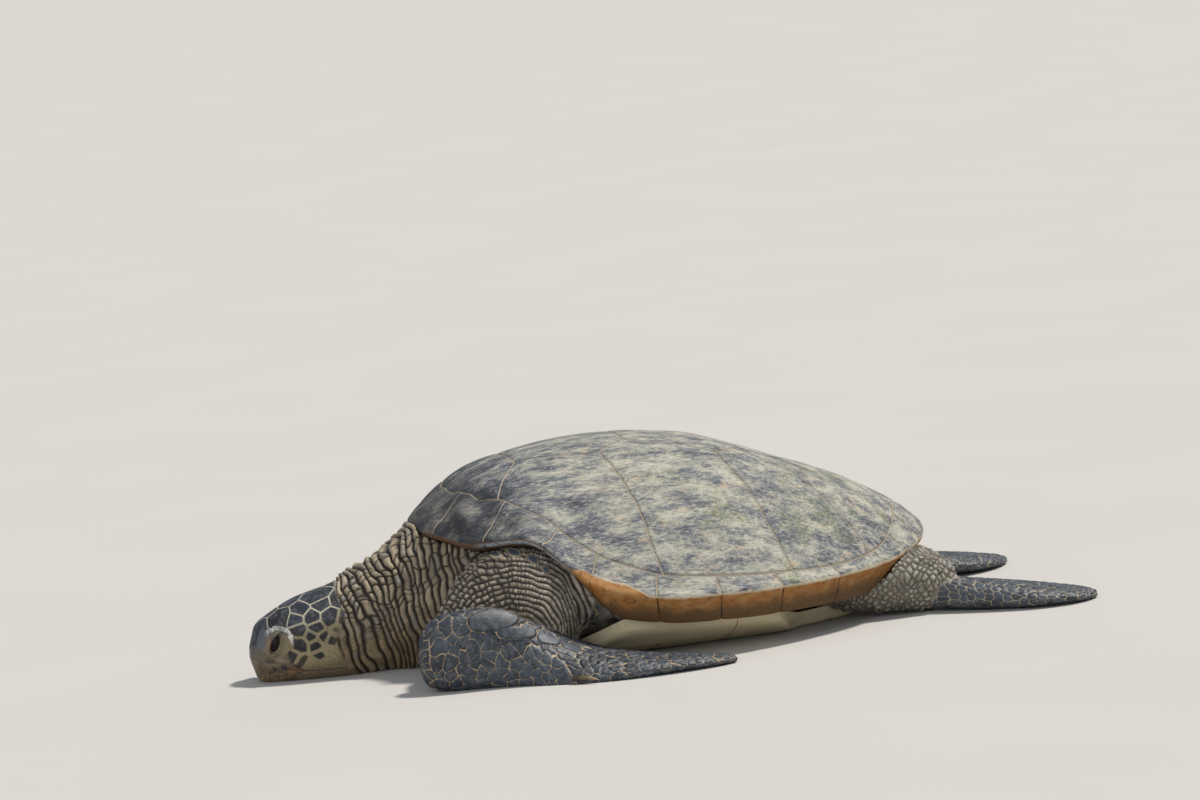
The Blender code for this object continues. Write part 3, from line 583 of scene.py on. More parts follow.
def rim_section(phi, sign):
    """The closed section of the rim, drawn on the +w side of a left (-1) or right (1) scute.

    Gives points (K, 3), metres past the rim's edge, metres from the seam ring, and which way the
    grooves sink (K, 3).
    """
    rim, seam = outline(phi), seam_point(phi)
    drop = float(lip_drop(rim[0]))
    z, skirt, inner_share, under_z = (float(value) for value in rim_heights(rim[0]))
    under = rim * inner_share
    inside = seam * (1 + 1.3 * 2 * SEAM_HALF_GAP / max(np.linalg.norm(seam), 0.05))
    share = np.concatenate([TOP_START, np.linspace(0.12, 1.0, TOP_SAMPLES)])
    plan = inside + (rim * TOP_END - inside) * share[:, None]
    mirror = np.array([1.0, sign])
    plan = plan + wander(plan * mirror) * mirror
    lift = RIM_SWELL * step(0.35, 1.0, share) - drop * step(0.40, 1.0, share)
    top = np.column_stack([plan, dome_z(plan[:, 0], plan[:, 1]) + lift])
    normal = dome_normal(plan[:, 0], plan[:, 1])
    top = top + normal * (shell_swell(plan[:, 0], plan[:, 1] * sign) * (1 - share ** 3))[:, None]
    middle = (rim + under) / 2
    face_z = (z - EDGE_ROUND + under_z) / 2 - FACE_SAG - skirt
    corners = [top[-6], top[-1], (*rim, z), (*(rim * 0.990), z - EDGE_ROUND),
               (*(middle + FACE_BULGE * rim), face_z), (*under, under_z)]
    corners = np.array([np.asarray(c, float) for c in corners])
    length = run_along(corners)
    curve = smooth(np.column_stack([length, corners]))
    lip = curve(np.linspace(length[1], length[-1], LIP_SAMPLES)[1:])
    root_z = float(dome_z(inside[0], inside[1])) - SCUTE_THICK
    root = np.array([*(inside * 0.993), root_z])
    inner = lip[-1] + (root - lip[-1]) * np.linspace(0.25, 1.0, 4)[:, None]
    wall = root + (top[0] - root) * np.array([[1 / 3], [2 / 3]])
    points = np.concatenate([top, lip, inner, wall])
    centre = points[:TOP_SAMPLES + LIP_SAMPLES].mean(axis=0)
    sink = (centre - points) / np.linalg.norm(centre - points, axis=1, keepdims=True)
    flat = (1 - step(0.5, 1.0, share))[:, None]
    sink[:len(top)] = sink[:len(top)] * (1 - flat) - normal * flat
    sink[len(top) + len(lip):] = 0.0
    run = run_along(points)
    past = run - (run[len(top) - 1] + length[2] - length[1])
    ring = run.copy()
    ring[len(top) + len(lip):] = 0.0
    return points, past, ring, sink


def rim_piece(name, phis, signs, tone):
    """A rim scute through sections at these phis, its ends and inner edge rounded into the seams."""
    sections = [rim_section(phi, sign) for phi, sign in zip(phis, signs)]
    points, past, ring, sink = (np.stack([section[k] for section in sections]) for k in range(4))
    points[..., 1] *= signs[:, None]
    sink[..., 1] *= signs[:, None]
    ends = np.minimum(np.linalg.norm(points - points[:1], axis=-1),
                      np.linalg.norm(points - points[-1:], axis=-1))
    edge = np.minimum(ends, np.where(past < 0, ring, 1.0))
    points = points + sink * groove(edge)[..., None]
    faces, first, last = tube(*edge.shape)
    faces += [first, last[::-1]]
    facts = {"edge": edge, "tone": np.full(edge.shape, tone), "lip": past}
    return new_piece(name, points.reshape(-1, 3), faces, facts)


def make_rim_scutes(material):
    phis = rim_phis()
    lean = 2.0 * SEAM_HALF_GAP / HALF_LENGTH
    reach = phis[0] - lean
    turn = 2 * spaced(2 * reach * HALF_LENGTH) - 1
    nuchal = rim_piece("scute_nuchal", np.abs(turn) * reach, np.where(turn < 0, -1.0, 1.0), 0.4)
    finish_piece(nuchal, material, "carapace", "nuchal")
    last = len(phis) - 2
    for i in range(last + 1):
        start, stop = phis[i] + lean, phis[i + 1] - lean
        length = np.linalg.norm(outline(np.array(stop)) - outline(np.array(start)))
        places = start + (stop - start) * spaced(max(length, 0.04))
        for side, word in ((-1.0, "left"), (1.0, "right")):
            node = f"supracaudal_{word}" if i == last else f"marginal_{word}_{i + 1}"
            piece = rim_piece(f"scute_{node}", places, np.full(len(places), side),
                              (0.37 * i + 0.5 * side) % 1)
            finish_piece(piece, material, "carapace", node)


# ---------------------------------------------------------------- plastron
PLASTRON = [(-0.315, 0.060), (-0.300, 0.110), (-0.260, 0.150), (-0.215, 0.190), (-0.180, 0.288),
            (-0.060, 0.293), (0.070, 0.276), (0.115, 0.255), (0.155, 0.172), (0.210, 0.142),
            (0.280, 0.100), (0.320, 0.050)]
PLASTRON_THICK = 0.020
FLAT_HALF = 0.165  # half the width of the flat of the belly ...
BRIDGE_HALF = 0.293  # ... and of the belly with its bridges
PLASTRON_SEAMS = [-0.268, -0.195, -0.075, 0.040, 0.150, 0.235]  # across the belly, front to back
INFRAMARGINAL = 0.215  # how far out the lengthwise seam beside the bridge runs


plastron_half = smooth(PLASTRON)


def plastron_z(x, w):
    reach = np.maximum(np.abs(w) - FLAT_HALF, 0.0) / (BRIDGE_HALF - FLAT_HALF)
    nose = (0.018 * np.maximum(-(x + 0.245) / 0.07, 0.0) ** 2
            + 0.012 * np.maximum((x - 0.26) / 0.06, 0.0) ** 2)
    return 0.047 * reach ** 1.35 + nose


def make_plastron(material):
    stations = np.array(PLASTRON)
    u, v = spaced(0.635, 5 * MM), spaced(0.50, 5 * MM)
    x = stations[0, 0] + (stations[-1, 0] - stations[0, 0]) * u
    half = plastron_half(x)
    share = 2 * v - 1
    w = half[:, None] * (np.sign(share) * np.abs(share) ** 0.85)[None]
    x = np.broadcast_to(x[:, None], w.shape)
    plan = np.stack([x, w], axis=-1)
    waver = 2.5 * MM * ripple(plan, 0.09, 21)
    border = np.minimum(half[:, None] - np.abs(w), 0.3)
    ends = np.minimum(x - stations[0, 0], stations[-1, 0] - x)
    seams = np.min([np.abs(x - at - 12 * MM * np.cos(np.abs(w) * 14) + waver)
                    for at in PLASTRON_SEAMS], axis=0)
    seams = np.minimum(seams, np.abs(w + waver))
    seams = np.minimum(seams, np.where(np.abs(x + 0.03) < 0.155,
                                       np.abs(np.abs(w) - INFRAMARGINAL + waver), 1.0))
    rim = np.minimum(border, ends)
    rise = 8.0 * MM * np.exp(-rim / (5 * MM)) + groove(seams) * 0.6
    under = np.stack([x, w, plastron_z(x, w) + rise], axis=-1)
    down = np.array([0.0, 0.0, PLASTRON_THICK - 0.2 * MM])
    piece = plate("belly_plate", under, down, {"edge": seams})
    finish_piece(piece, material, "plastron", "plastron")


# ---------------------------------------------------------------- the flesh's own sizes
SNOUT = Vector((-0.7230, 0.040, 0.0590))
HEAD_PITCH = math.radians(15.0)
HEAD_TURN = math.radians(10.0)
EYE_AT = (0.0445, -0.0040, 0.0335)
EYE_RADIUS = 0.0185
LID_SLANT = math.radians(48.0)
HEAD_FRAME = np.array(Matrix.Translation(SNOUT) @ Matrix.Rotation(-HEAD_TURN, 4, "Z")
                      @ Matrix.Rotation(-HEAD_PITCH, 4, "Y"))
# Sections of the head: back from the snout, half width, top, bottom, and how square it is.
HEAD_SECTIONS = [
    (-0.0050, 0.0110, -0.0170, -0.0450, 2.0),
    (-0.0030, 0.0200, -0.0080, -0.0570, 2.1),
    (0.0020, 0.0275, 0.0035, -0.0645, 2.2),
    (0.0100, 0.0350, 0.0165, -0.0690, 2.3),
    (0.0190, 0.0400, 0.0290, -0.0720, 2.3),
    (0.0300, 0.0445, 0.0355, -0.0755, 2.3),
    (0.0440, 0.0490, 0.0400, -0.0800, 2.4),
    (0.0620, 0.0540, 0.0445, -0.0850, 2.4),
    (0.0820, 0.0595, 0.0490, -0.0910, 2.4),
    (0.1040, 0.0640, 0.0515, -0.0970, 2.3),
    (0.1280, 0.0660, 0.0515, -0.1030, 2.3),
    (0.1520, 0.0665, 0.0515, -0.1090, 2.2),
    (0.1720, 0.0665, 0.0535, -0.1140, 2.1),
]
# Sections of the neck: x, side drift, half width, top, bottom, and how far the top leans forward.
NECK_SECTIONS = [
    (-0.520, 0.010, 0.0710, 0.1720, -0.010, 0.030),
    (-0.495, 0.006, 0.0790, 0.1830, -0.012, 0.022),
    (-0.462, 0.003, 0.0920, 0.2090, -0.012, 0.014),
    (-0.434, 0.001, 0.1080, 0.2360, -0.010, 0.006),
    (-0.408, 0.000, 0.1240, 0.2560, 0.000, 0.000),
    (-0.3855, 0.000, 0.1360, 0.2620, 0.018, 0.000),
]
# Sections of the trunk: x, half width, top, bottom.
TRUNK_SECTIONS = [
    (-0.385, 0.135, 0.262, 0.060),
    (-0.350, 0.190, 0.275, 0.042),
    (-0.280, 0.250, 0.320, 0.028),
    (-0.160, 0.288, 0.330, 0.026),
    (-0.010, 0.291, 0.325, 0.026),
    (0.140, 0.263, 0.290, 0.026),
    (0.240, 0.213, 0.250, 0.026),
    (0.320, 0.150, 0.205, 0.030),
    (0.370, 0.095, 0.170, 0.045),
]
# Each limb section: centre x, w, z, half chord, half thickness, lean in degrees.
LIMBS = {
    "upper_arm": [
        (-0.474, 0.258, 0.060, 0.018, 0.018, 0),
        (-0.462, 0.250, 0.066, 0.042, 0.040, 0),
        (-0.440, 0.238, 0.076, 0.062, 0.056, 0),
        (-0.410, 0.228, 0.090, 0.080, 0.072, 0),
        (-0.370, 0.222, 0.102, 0.093, 0.088, 0),
        (-0.320, 0.218, 0.110, 0.099, 0.096, 0),
        (-0.270, 0.205, 0.110, 0.096, 0.092, 0),
        (-0.225, 0.175, 0.115, 0.086, 0.080, 0),
        (-0.190, 0.130, 0.120, 0.070, 0.060, 0),
    ],
    "hand": [
        (-0.504, 0.290, 0.050, 0.014, 0.010, 4),
        (-0.500, 0.291, 0.053, 0.034, 0.019, 4),
        (-0.488, 0.293, 0.057, 0.050, 0.027, 5),
        (-0.465, 0.297, 0.060, 0.060, 0.033, 6),
        (-0.430, 0.303, 0.062, 0.064, 0.036, 9),
        (-0.390, 0.310, 0.061, 0.066, 0.034, 14),
        (-0.350, 0.319, 0.055, 0.067, 0.030, 24),
        (-0.310, 0.330, 0.043, 0.068, 0.025, 44),
        (-0.270, 0.341, 0.030, 0.069, 0.021, 62),
        (-0.220, 0.354, 0.021, 0.069, 0.0175, 76),
        (-0.165, 0.367, 0.015, 0.063, 0.0145, 84),
        (-0.110, 0.378, 0.0115, 0.052, 0.0120, 88),
        (-0.060, 0.387, 0.0095, 0.037, 0.0100, 89),
        (-0.025, 0.393, 0.0075, 0.021, 0.0078, 89),
        (-0.008, 0.396, 0.0060, 0.008, 0.0050, 89),
    ],
    "thigh": [
        (0.170, 0.085, 0.085, 0.050, 0.055, 0),
        (0.240, 0.112, 0.074, 0.058, 0.060, 0),
        (0.305, 0.130, 0.062, 0.054, 0.062, 0),
        (0.350, 0.138, 0.055, 0.052, 0.058, 0),
        (0.390, 0.143, 0.056, 0.056, 0.052, 0),
        (0.420, 0.150, 0.048, 0.046, 0.043, 0),
        (0.442, 0.157, 0.038, 0.030, 0.030, 0),
        (0.452, 0.161, 0.033, 0.014, 0.015, 0),
    ],
    "foot": [
        (0.375, 0.152, 0.034, 0.020, 0.022, 86),
        (0.405, 0.160, 0.032, 0.036, 0.027, 86),
        (0.440, 0.176, 0.028, 0.048, 0.026, 87),
        (0.488, 0.196, 0.023, 0.062, 0.0235, 88),
        (0.540, 0.212, 0.018, 0.073, 0.0195, 88),
        (0.590, 0.221, 0.0135, 0.070, 0.0150, 89),
        (0.628, 0.228, 0.0100, 0.053, 0.0110, 89),
        (0.652, 0.233, 0.0080, 0.030, 0.0080, 89),
        (0.664, 0.236, 0.0060, 0.010, 0.0050, 89),
    ],
    "tail": [
        (0.360, 0.002, 0.050, 0.040, 0.042, 0),
        (0.390, 0.004, 0.040, 0.033, 0.033, 0),
        (0.425, 0.010, 0.027, 0.025, 0.023, 0),
        (0.460, 0.018, 0.017, 0.017, 0.015, 0),
        (0.485, 0.026, 0.010, 0.010, 0.008, 0),
    ],
}
HEAD_MIDDLE = 0.48  # the height of the head's widest line, as a share from its bottom to its top
NECK_POWER, TRUNK_POWER, LIMB_POWER = 2.2, 3.2, 2.1  # how square the sections are; 2 is an ellipse
FAR = 9.0  # more metres than anything here measures

# Lines in the head's own side view, as (back from the snout, up).
MOUTH_LINE = [(-0.030, -0.0485), (0.000, -0.0500), (0.020, -0.0515), (0.046, -0.0550),
              (0.074, -0.0635), (0.110, -0.0760), (0.150, -0.0830), (0.200, -0.0880)]
UPPER_BEAK_LINE = [(-0.030, -0.0050), (-0.004, -0.0160), (0.0225, -0.0330), (0.0500, -0.0405),
                   (0.0660, -0.0520), (0.0745, -0.0640)]
LOWER_BEAK_LINE = [(0.0700, -0.0615), (0.0480, -0.0690), (0.0270, -0.0740), (0.0180, -0.0900)]


def into_head(points):
    """World points as the head's own (a, w, b): back from the snout, to the side and up."""
    turned = points - HEAD_FRAME[:3, 3]
    return turned @ HEAD_FRAME[:3, :3]


def head_bearing(w, b):
    """Degrees round the head from its top to its throat, on either side."""
    return np.degrees(np.arctan2(np.abs(w), b + 0.02))


def out_of_head(points):
    """Points (a, w, b) of the head's own frame, in the world."""
    return np.asarray(points) @ HEAD_FRAME[:3, :3].T + HEAD_FRAME[:3, 3]


def oval(half_side, half_up, half_down, power, count):
    """A superellipse as (side, up) pairs, whose upper and lower halves may differ."""
    angle = 2 * math.pi * (np.arange(count) + 0.5) / count
    c, s = np.cos(angle), np.sin(angle)
    reach = 1.0 / roundness(c, s, power)
    return np.column_stack([half_side * reach * c, np.where(s > 0, half_up, half_down) * reach * s])


AROUND = 72  # points round each ring of the flesh


def head_ring(a, half, top, bottom, power):
    middle = bottom + HEAD_MIDDLE * (top - bottom)
    ring = oval(half, top - middle, middle - bottom, power, AROUND)
    return out_of_head(np.column_stack([np.full(AROUND, a), ring[:, 0], middle + ring[:, 1]]))


def body_ring(x, drift, half, top, bottom, power, lean=0.0):
    middle = (top + bottom) / 2
    ring = oval(half, top - middle, middle - bottom, power, AROUND)
    forward = -lean / (top - middle)
    return np.column_stack([x + forward * ring[:, 1], drift + ring[:, 0], middle + ring[:, 1]])


def limb_ring(x, w, z, half_chord, half_thick, degrees, side):
    lean = math.radians(degrees)
    ring = oval(half_chord, half_thick, half_thick, LIMB_POWER, AROUND)
    out = w - math.sin(lean) * ring[:, 0] + math.cos(lean) * ring[:, 1]
    up = z + math.cos(lean) * ring[:, 0] + math.sin(lean) * ring[:, 1]
    return np.column_stack([np.full(AROUND, x), side * out, up])


def loft(rings, spacing=0.005, tip=False):
    """A closed body through smooth curves along the rings; `tip` rounds its first end to a point."""
    rings = np.stack(rings)
    if tip:
        centre = rings[0].mean(axis=0)
        ahead = (centre - rings[1].mean(axis=0)) * 0.35
        rings = np.concatenate([[centre + ahead + (rings[0] - centre) * 0.3], rings])
    travel = run_along(rings.mean(axis=1))
    curve = smooth(np.column_stack([travel, rings.reshape(len(rings), -1)]))
    places = np.concatenate([np.linspace(p, q, max(int((q - p) / spacing), 2) + 1)[:-1]
                             for p, q in zip(travel, travel[1:])] + [travel[-1:]])
    drawn = curve(places).reshape(len(places), AROUND, 3)
    faces, first, last = tube(len(places), AROUND)
    return drawn.reshape(-1, 3), faces + [first[::-1], last]


def head_rings():
    return [head_ring(*section) for section in HEAD_SECTIONS]


def neck_rings():
    return [body_ring(x, drift, half, top, bottom, NECK_POWER, lean)
            for x, drift, half, top, bottom, lean in NECK_SECTIONS]


def sides_of(name):
    """The sides that a limb is on: -1 is the left."""
    return (1,) if name == "tail" else (-1, 1)


def flesh_bodies():
    """Every body of the flesh but the head, as (points, faces)."""
    yield loft([body_ring(x, 0.0, half, top, bottom, TRUNK_POWER)
                for x, half, top, bottom in TRUNK_SECTIONS], 0.01)
    for name, sections in LIMBS.items():
        for side in sides_of(name):
            yield loft([limb_ring(*section, side) for section in sections])


def joined(bodies):
    """Several (points, faces) as one."""
    points, faces, base = [], [], 0
    for body_points, body_faces in bodies:
        points.append(body_points)
        faces += [[i + base for i in face] for face in body_faces]
        base += len(body_points)
    return np.concatenate(points), faces


def applied(obj):
    """Bakes an object's modifiers into its mesh."""
    bpy.context.view_layer.update()
    graph = bpy.context.evaluated_depsgraph_get()
    mesh = bpy.data.meshes.new_from_object(obj.evaluated_get(graph))
    obj.modifiers.clear()
    obj.data = mesh
    return obj


def remeshed(obj, voxel):
    modifier = obj.modifiers.new("remesh", "REMESH")
    modifier.mode = "VOXEL"
    modifier.voxel_size = voxel
    modifier.use_smooth_shade = True
    return applied(obj)


def head_prism(path):
    """A body across the whole head whose side view is the closed path of (a, b) points."""
    bm = bmesh.new()
    rows = [[bm.verts.new(out_of_head(np.array([a, w, b]))) for a, b in path] for w in (-0.1, 0.1)]
    for i in range(len(path)):
        j = (i + 1) % len(path)
        bm.faces.new((rows[0][i], rows[0][j], rows[1][j], rows[1][i]))
    bm.faces.new(list(reversed(rows[0])))
    bm.faces.new(rows[1])
    bmesh.ops.triangulate(bm, faces=bm.faces)
    bmesh.ops.recalc_face_normals(bm, faces=bm.faces)
    mesh = bpy.data.meshes.new("prism")
    bm.to_mesh(mesh)
    bm.free()
    return placed("prism", mesh)


def cut(obj, path, operation):
    """Takes the prism of this path off a body (DIFFERENCE), or leaves what lies in it (INTERSECT)."""
    prism = head_prism(path)
    modifier = obj.modifiers.new("cut", "BOOLEAN")
    modifier.operation = operation
    modifier.solver = "EXACT"
    modifier.object = prism
    applied(obj)
    bpy.data.objects.remove(prism)


def beak_outline(upper, root=0.0):
    """The side view of the upper or the lower beak, as a closed path; `root` reaches under the skin."""
    mouth = smooth(MOUTH_LINE)
    if upper:
        corner = UPPER_BEAK_LINE[-1][0]
        along = np.linspace(corner, MOUTH_LINE[0][0], 24)
        edge = smooth(UPPER_BEAK_LINE)
        over = np.linspace(UPPER_BEAK_LINE[0][0], corner, 24)
        top = [(a, float(edge(a)) + root) for a in over]
        return top + [(a, float(mouth(a))) for a in along[1:]]
    corner = LOWER_BEAK_LINE[0][0]
    along = np.linspace(MOUTH_LINE[0][0], corner, 24)
    line = [(a, float(mouth(a)) - 0.3 * MM) for a in along]
    line[-1] = (corner + root, line[-1][1])
    return line + [(a + root, b) for a, b in LOWER_BEAK_LINE[1:]] + [(-0.030, -0.0900)]


# ---------------------------------------------------------------- where a point of the flesh is
ASPECTS = np.linspace(0.05, 1.25, 25)
TURNS = np.linspace(0.0, 2 * math.pi, 361)


def arc_tables():
    """For ellipses of each aspect: the share of the way round by angle, and the whole way round."""
    along = np.cos(TURNS)[None] * np.ones_like(ASPECTS)[:, None]
    across = np.sin(TURNS)[None] * ASPECTS[:, None]
    run = np.hypot(np.diff(along, axis=1), np.diff(across, axis=1))
    total = np.concatenate([np.zeros((len(ASPECTS), 1)), np.cumsum(run, axis=1)], axis=1)
    return total / total[:, -1:], total[:, -1]


ARC_SHARE, ARC_LENGTH = arc_tables()


def way_round(turn, aspect):
    """The share of the way round an ellipse at this angle, and the whole way for a half width of 1."""
    turn = np.mod(turn, 2 * math.pi)
    row = np.clip((aspect - ASPECTS[0]) / (ASPECTS[1] - ASPECTS[0]), 0, len(ASPECTS) - 1.001)
    column = np.clip(turn / (TURNS[1] - TURNS[0]), 0, len(TURNS) - 1.001)
    i, j = row.astype(int), column.astype(int)
    fi, fj = row - i, column - j
    share = ((1 - fi) * ((1 - fj) * ARC_SHARE[i, j] + fj * ARC_SHARE[i, j + 1])
             + fi * ((1 - fj) * ARC_SHARE[i + 1, j] + fj * ARC_SHARE[i + 1, j + 1]))
    return share, (1 - fi) * ARC_LENGTH[i] + fi * ARC_LENGTH[i + 1]


def limb_place(points, name, side):
    """For points near a limb: metres along it, share of the way round, metres round, metres outside."""
    stations = np.array(LIMBS[name])
    x = points[:, 0]
    w, z, chord, thick, degrees = np.moveaxis(smooth(stations)(x), -1, 0)
    lean = np.radians(degrees)
    out, up = side * points[:, 1] - w, points[:, 2] - z
    c = up * np.cos(lean) - out * np.sin(lean)
    t = out * np.cos(lean) + up * np.sin(lean)
    radius = roundness(c / chord, t / thick, LIMB_POWER)
    off = (radius - 1) * np.minimum(chord, thick)
    beyond = np.maximum(stations[0, 0] - x, 0) + np.maximum(x - stations[-1, 0], 0)
    travel = run_along(stations[:, :3])
    share, whole = way_round(np.arctan2(t / thick, c / chord), thick / chord)
    return np.interp(x, stations[:, 0], travel), share, whole * chord, off + beyond


HEAD_END = HEAD_SECTIONS[-1][0]
head_shape = smooth(HEAD_SECTIONS)


def head_off(local):
    """Metres outside the head's surface, roughly, for the head's own (a, w, b)."""
    a, w, b = local.T
    half, top, bottom, power = np.moveaxis(head_shape(a), -1, 0)
    middle = bottom + HEAD_MIDDLE * (top - bottom)
    height = np.where(b > middle, top - middle, middle - bottom)
    radius = roundness(w / half, (b - middle) / height, power)
    return (radius - 1) * half + np.maximum(a - HEAD_END, 0)


def neck_planes():
    """Origins, normals and travel of the planes across the neck, from the end of the head back."""
    axis = HEAD_FRAME[:3, 0]
    origins = [out_of_head(np.array([HEAD_END, 0.0, -0.03]))]
    normals = [axis]
    for x, drift, _, top, bottom, lean in NECK_SECTIONS:
        middle = (top + bottom) / 2
        normal = np.array([1.0, 0.0, lean / (top - middle)])
        origins.append(np.array([x, drift, middle]))
        normals.append(normal / np.linalg.norm(normal))
    origins, normals = np.array(origins), np.array(normals)
    return origins, normals, run_along(origins)


NECK_ORIGINS, NECK_NORMALS, NECK_TRAVEL = neck_planes()
NECK_HALVES = np.array([HEAD_SECTIONS[-1][1]] + [s[2] for s in NECK_SECTIONS])
NECK_HEIGHTS = np.array([0.5 * (HEAD_SECTIONS[-1][2] - HEAD_SECTIONS[-1][3])]
                        + [(s[3] - s[4]) / 2 for s in NECK_SECTIONS])


def neck_place(points):
    """For points near the neck: metres along it, share of the way round from the right, metres round,
    and metres outside."""
    signed = np.einsum("nkc,kc->nk", points[:, None, :] - NECK_ORIGINS, NECK_NORMALS)
    k = np.clip((signed > 0).sum(axis=1) - 1, 0, len(NECK_ORIGINS) - 2)
    n = np.arange(len(points))
    before, after = signed[n, k], signed[n, k + 1]
    t = np.clip(before / np.maximum(before - after, 1e-6), -1.0, 1.5)

    def between(values):
        return values[k] + (values[k + 1] - values[k]) * (t if values.ndim == 1 else t[:, None])

    centre = between(NECK_ORIGINS)
    half, height = between(NECK_HALVES), between(NECK_HEIGHTS)
    across, up = points[:, 1] - centre[:, 1], points[:, 2] - centre[:, 2]
    radius = roundness(across / half, up / height, NECK_POWER)
    share, whole = way_round(np.arctan2(up / height, across / half), height / half)
    travel = between(NECK_TRAVEL)
    beyond = np.maximum(-signed[:, 0], 0) + np.maximum(signed[:, -1], 0)
    return travel, share, whole * half, (radius - 1) * half + beyond


# ---------------------------------------------------------------- the shell over the flesh
PHI_TABLE = np.linspace(0.0, math.pi, 721)
RIM_TABLE = outline(PHI_TABLE)
RIM_BEARING = np.arctan2(RIM_TABLE[:, 1], -RIM_TABLE[:, 0])
SLACK = 4.0 * MM


def shell_share(points):
    """How far out towards the rim a point lies in plan (1 on the rim), and the phi of its ray."""
    bearing = np.arctan2(np.abs(points[:, 1]), -points[:, 0])
    phi = np.interp(bearing, RIM_BEARING, PHI_TABLE)
    rim = outline(phi)
    return np.linalg.norm(points[:, :2], axis=1) / np.linalg.norm(rim, axis=1), phi


def shell_ceiling(points):
    """The height that the flesh stays under, below the shell; far above everything outside it."""
    share, phi = shell_share(points)
    rim = outline(phi)
    z, skirt, inner, under_z = rim_heights(rim[:, 0])
    ring = np.minimum(seam_share(rim[:, 0]) * 0.965, 0.850)  # where the rim scutes' roots are
    root = rim * ring[:, None]
    root_z = dome_z(root[:, 0], root[:, 1]) - 1.4 * (SCUTE_THICK + SLACK)
    steep = dome_normal(points[:, 0], points[:, 1])[:, 2]
    under_dome = dome_z(points[:, 0], points[:, 1]) - (SCUTE_THICK + SLACK) / np.maximum(steep, 0.3)
    stops = np.stack([ring, np.maximum(inner, ring + 0.005), (1 + inner) / 2, np.full_like(z, TOP_END),
                      np.full_like(z, 1.003)])
    heights = np.stack([root_z, under_z - 1.5 * MM, (z - EDGE_ROUND + under_z) / 2 - 5.0 * MM - skirt,
                        z - 9.5 * MM - 0.8 * skirt, z - 2.0 * MM])
    ceiling = np.minimum(under_dome, root_z + 0.3)
    for k in range(4):
        t = (share - stops[k]) / (stops[k + 1] - stops[k])
        between = heights[k] + (heights[k + 1] - heights[k]) * np.clip(t, 0, 1)
        ceiling = np.where(t > 0, between, ceiling)
    return np.where(share > stops[-1], FAR, ceiling)


def plastron_floor(points):
    """The height that the flesh stays over, above the plastron; far below everything outside it."""
    stations = np.array(PLASTRON)
    half = np.interp(points[:, 0], stations[:, 0], stations[:, 1], left=-1.0, right=-1.0)
    over = plastron_z(points[:, 0], points[:, 1]) + PLASTRON_THICK + MM
    return np.where(np.abs(points[:, 1]) < half + MM, over, -FAR)


def settled(points):
    """Points kept under the shell, over the plastron and off the ground."""
    points = points.copy()
    points[:, 2] = np.minimum(points[:, 2], shell_ceiling(points))
    points[:, 2] = np.maximum(points[:, 2], plastron_floor(points))
    points[:, 2] = np.maximum(points[:, 2], 0.0)
    return points


# ---------------------------------------------------------------- the skin's mesh
VOXEL = 1.8 * MM


def edges_of(mesh):
    flat = np.empty(len(mesh.edges) * 2, np.int32)
    mesh.edges.foreach_get("vertices", flat)
    return flat.reshape(-1, 2)


class Neighbours:
    """Averages of values over each point's neighbours in a mesh."""

    def __init__(self, mesh):
        edges = edges_of(mesh)
        self.count = len(mesh.vertices)
        self.start = np.concatenate([edges[:, 0], edges[:, 1]])
        self.end = np.concatenate([edges[:, 1], edges[:, 0]])
        self.degree = np.maximum(np.bincount(self.start, minlength=self.count), 1)

    def average(self, values):
        columns = values.reshape(self.count, -1)
        found = [np.bincount(self.start, weights=column[self.end], minlength=self.count) / self.degree
                 for column in columns.T]
        return np.stack(found, axis=-1).reshape(values.shape)

    def relaxed(self, values, rounds, strength=0.5):
        for _ in range(rounds):
            values = values + strength * (self.average(values) - values)
        return values


def sphere(around, up, shape):
    """A sphere of radius 1 carried through the matrix `shape`, as (points, faces)."""
    bm = bmesh.new()
    bmesh.ops.create_uvsphere(bm, u_segments=around, v_segments=up, radius=1.0)
    bmesh.ops.transform(bm, matrix=shape, verts=bm.verts)
    points = np.array([v.co for v in bm.verts])
    faces = [[v.index for v in f.verts] for f in bm.faces]
    bm.free()
    return points, faces


def lid_mound(side):
    """The mound of the lids round an eye, as (points, faces)."""
    a, b, _ = EYE_AT
    return sphere(32, 20, Matrix(HEAD_FRAME) @ Matrix.Translation((a + 0.003, side * 0.0365, b))
                  @ Matrix.Rotation(-LID_SLANT, 4, "Y") @ Matrix.Diagonal((0.0285, 0.0190, 0.0225, 1)))


def blank_skin():
    """The flesh as one closed mesh of even faces, with the beak's place left free."""
    head = new_piece("skin_head", *loft(head_rings() + neck_rings(), 0.003, tip=True))
    for upper in (True, False):
        cut(head, beak_outline(upper), "DIFFERENCE")
    bodies = [(read_vectors(head.data), [list(p.vertices) for p in head.data.polygons])]
    bodies += [lid_mound(side) for side in (-1, 1)] + list(flesh_bodies())
    bpy.data.objects.remove(head)
    skin = new_piece("skin", *joined(bodies))
    remeshed(skin, VOXEL)
    points = Neighbours(skin.data).relaxed(read_vectors(skin.data), 4)
    write_points(skin.data, settled(points))
    return thinned(skin)


def thinned(skin):
    """The skin with fewer faces where the shell and the plastron hide it."""
    points = read_vectors(skin.data)
    share, _ = shell_share(points)
    x, z = points[:, 0], points[:, 2]
    hidden = (share < 0.93) & (x > -0.20) & (x < 0.24)
    hidden |= (share < 0.80) & (z > 0.03) & (x > -0.34) & (x < 0.34)
    group = skin.vertex_groups.new(name="hidden")
    group.add(np.nonzero(hidden)[0].tolist(), 1.0, "REPLACE")
    modifier = skin.modifiers.new("thin", "DECIMATE")
    modifier.ratio = 1.0 - 0.93 * hidden.mean()
    modifier.vertex_group = "hidden"
    modifier.vertex_group_factor = 10.0
    applied(skin)
    skin.vertex_groups.clear()
    return skin


def on_head(local):
    return local[:, 0] < HEAD_END - 0.004


def at_lids(local):
    return lid_place(local)[3] < 5 * MM


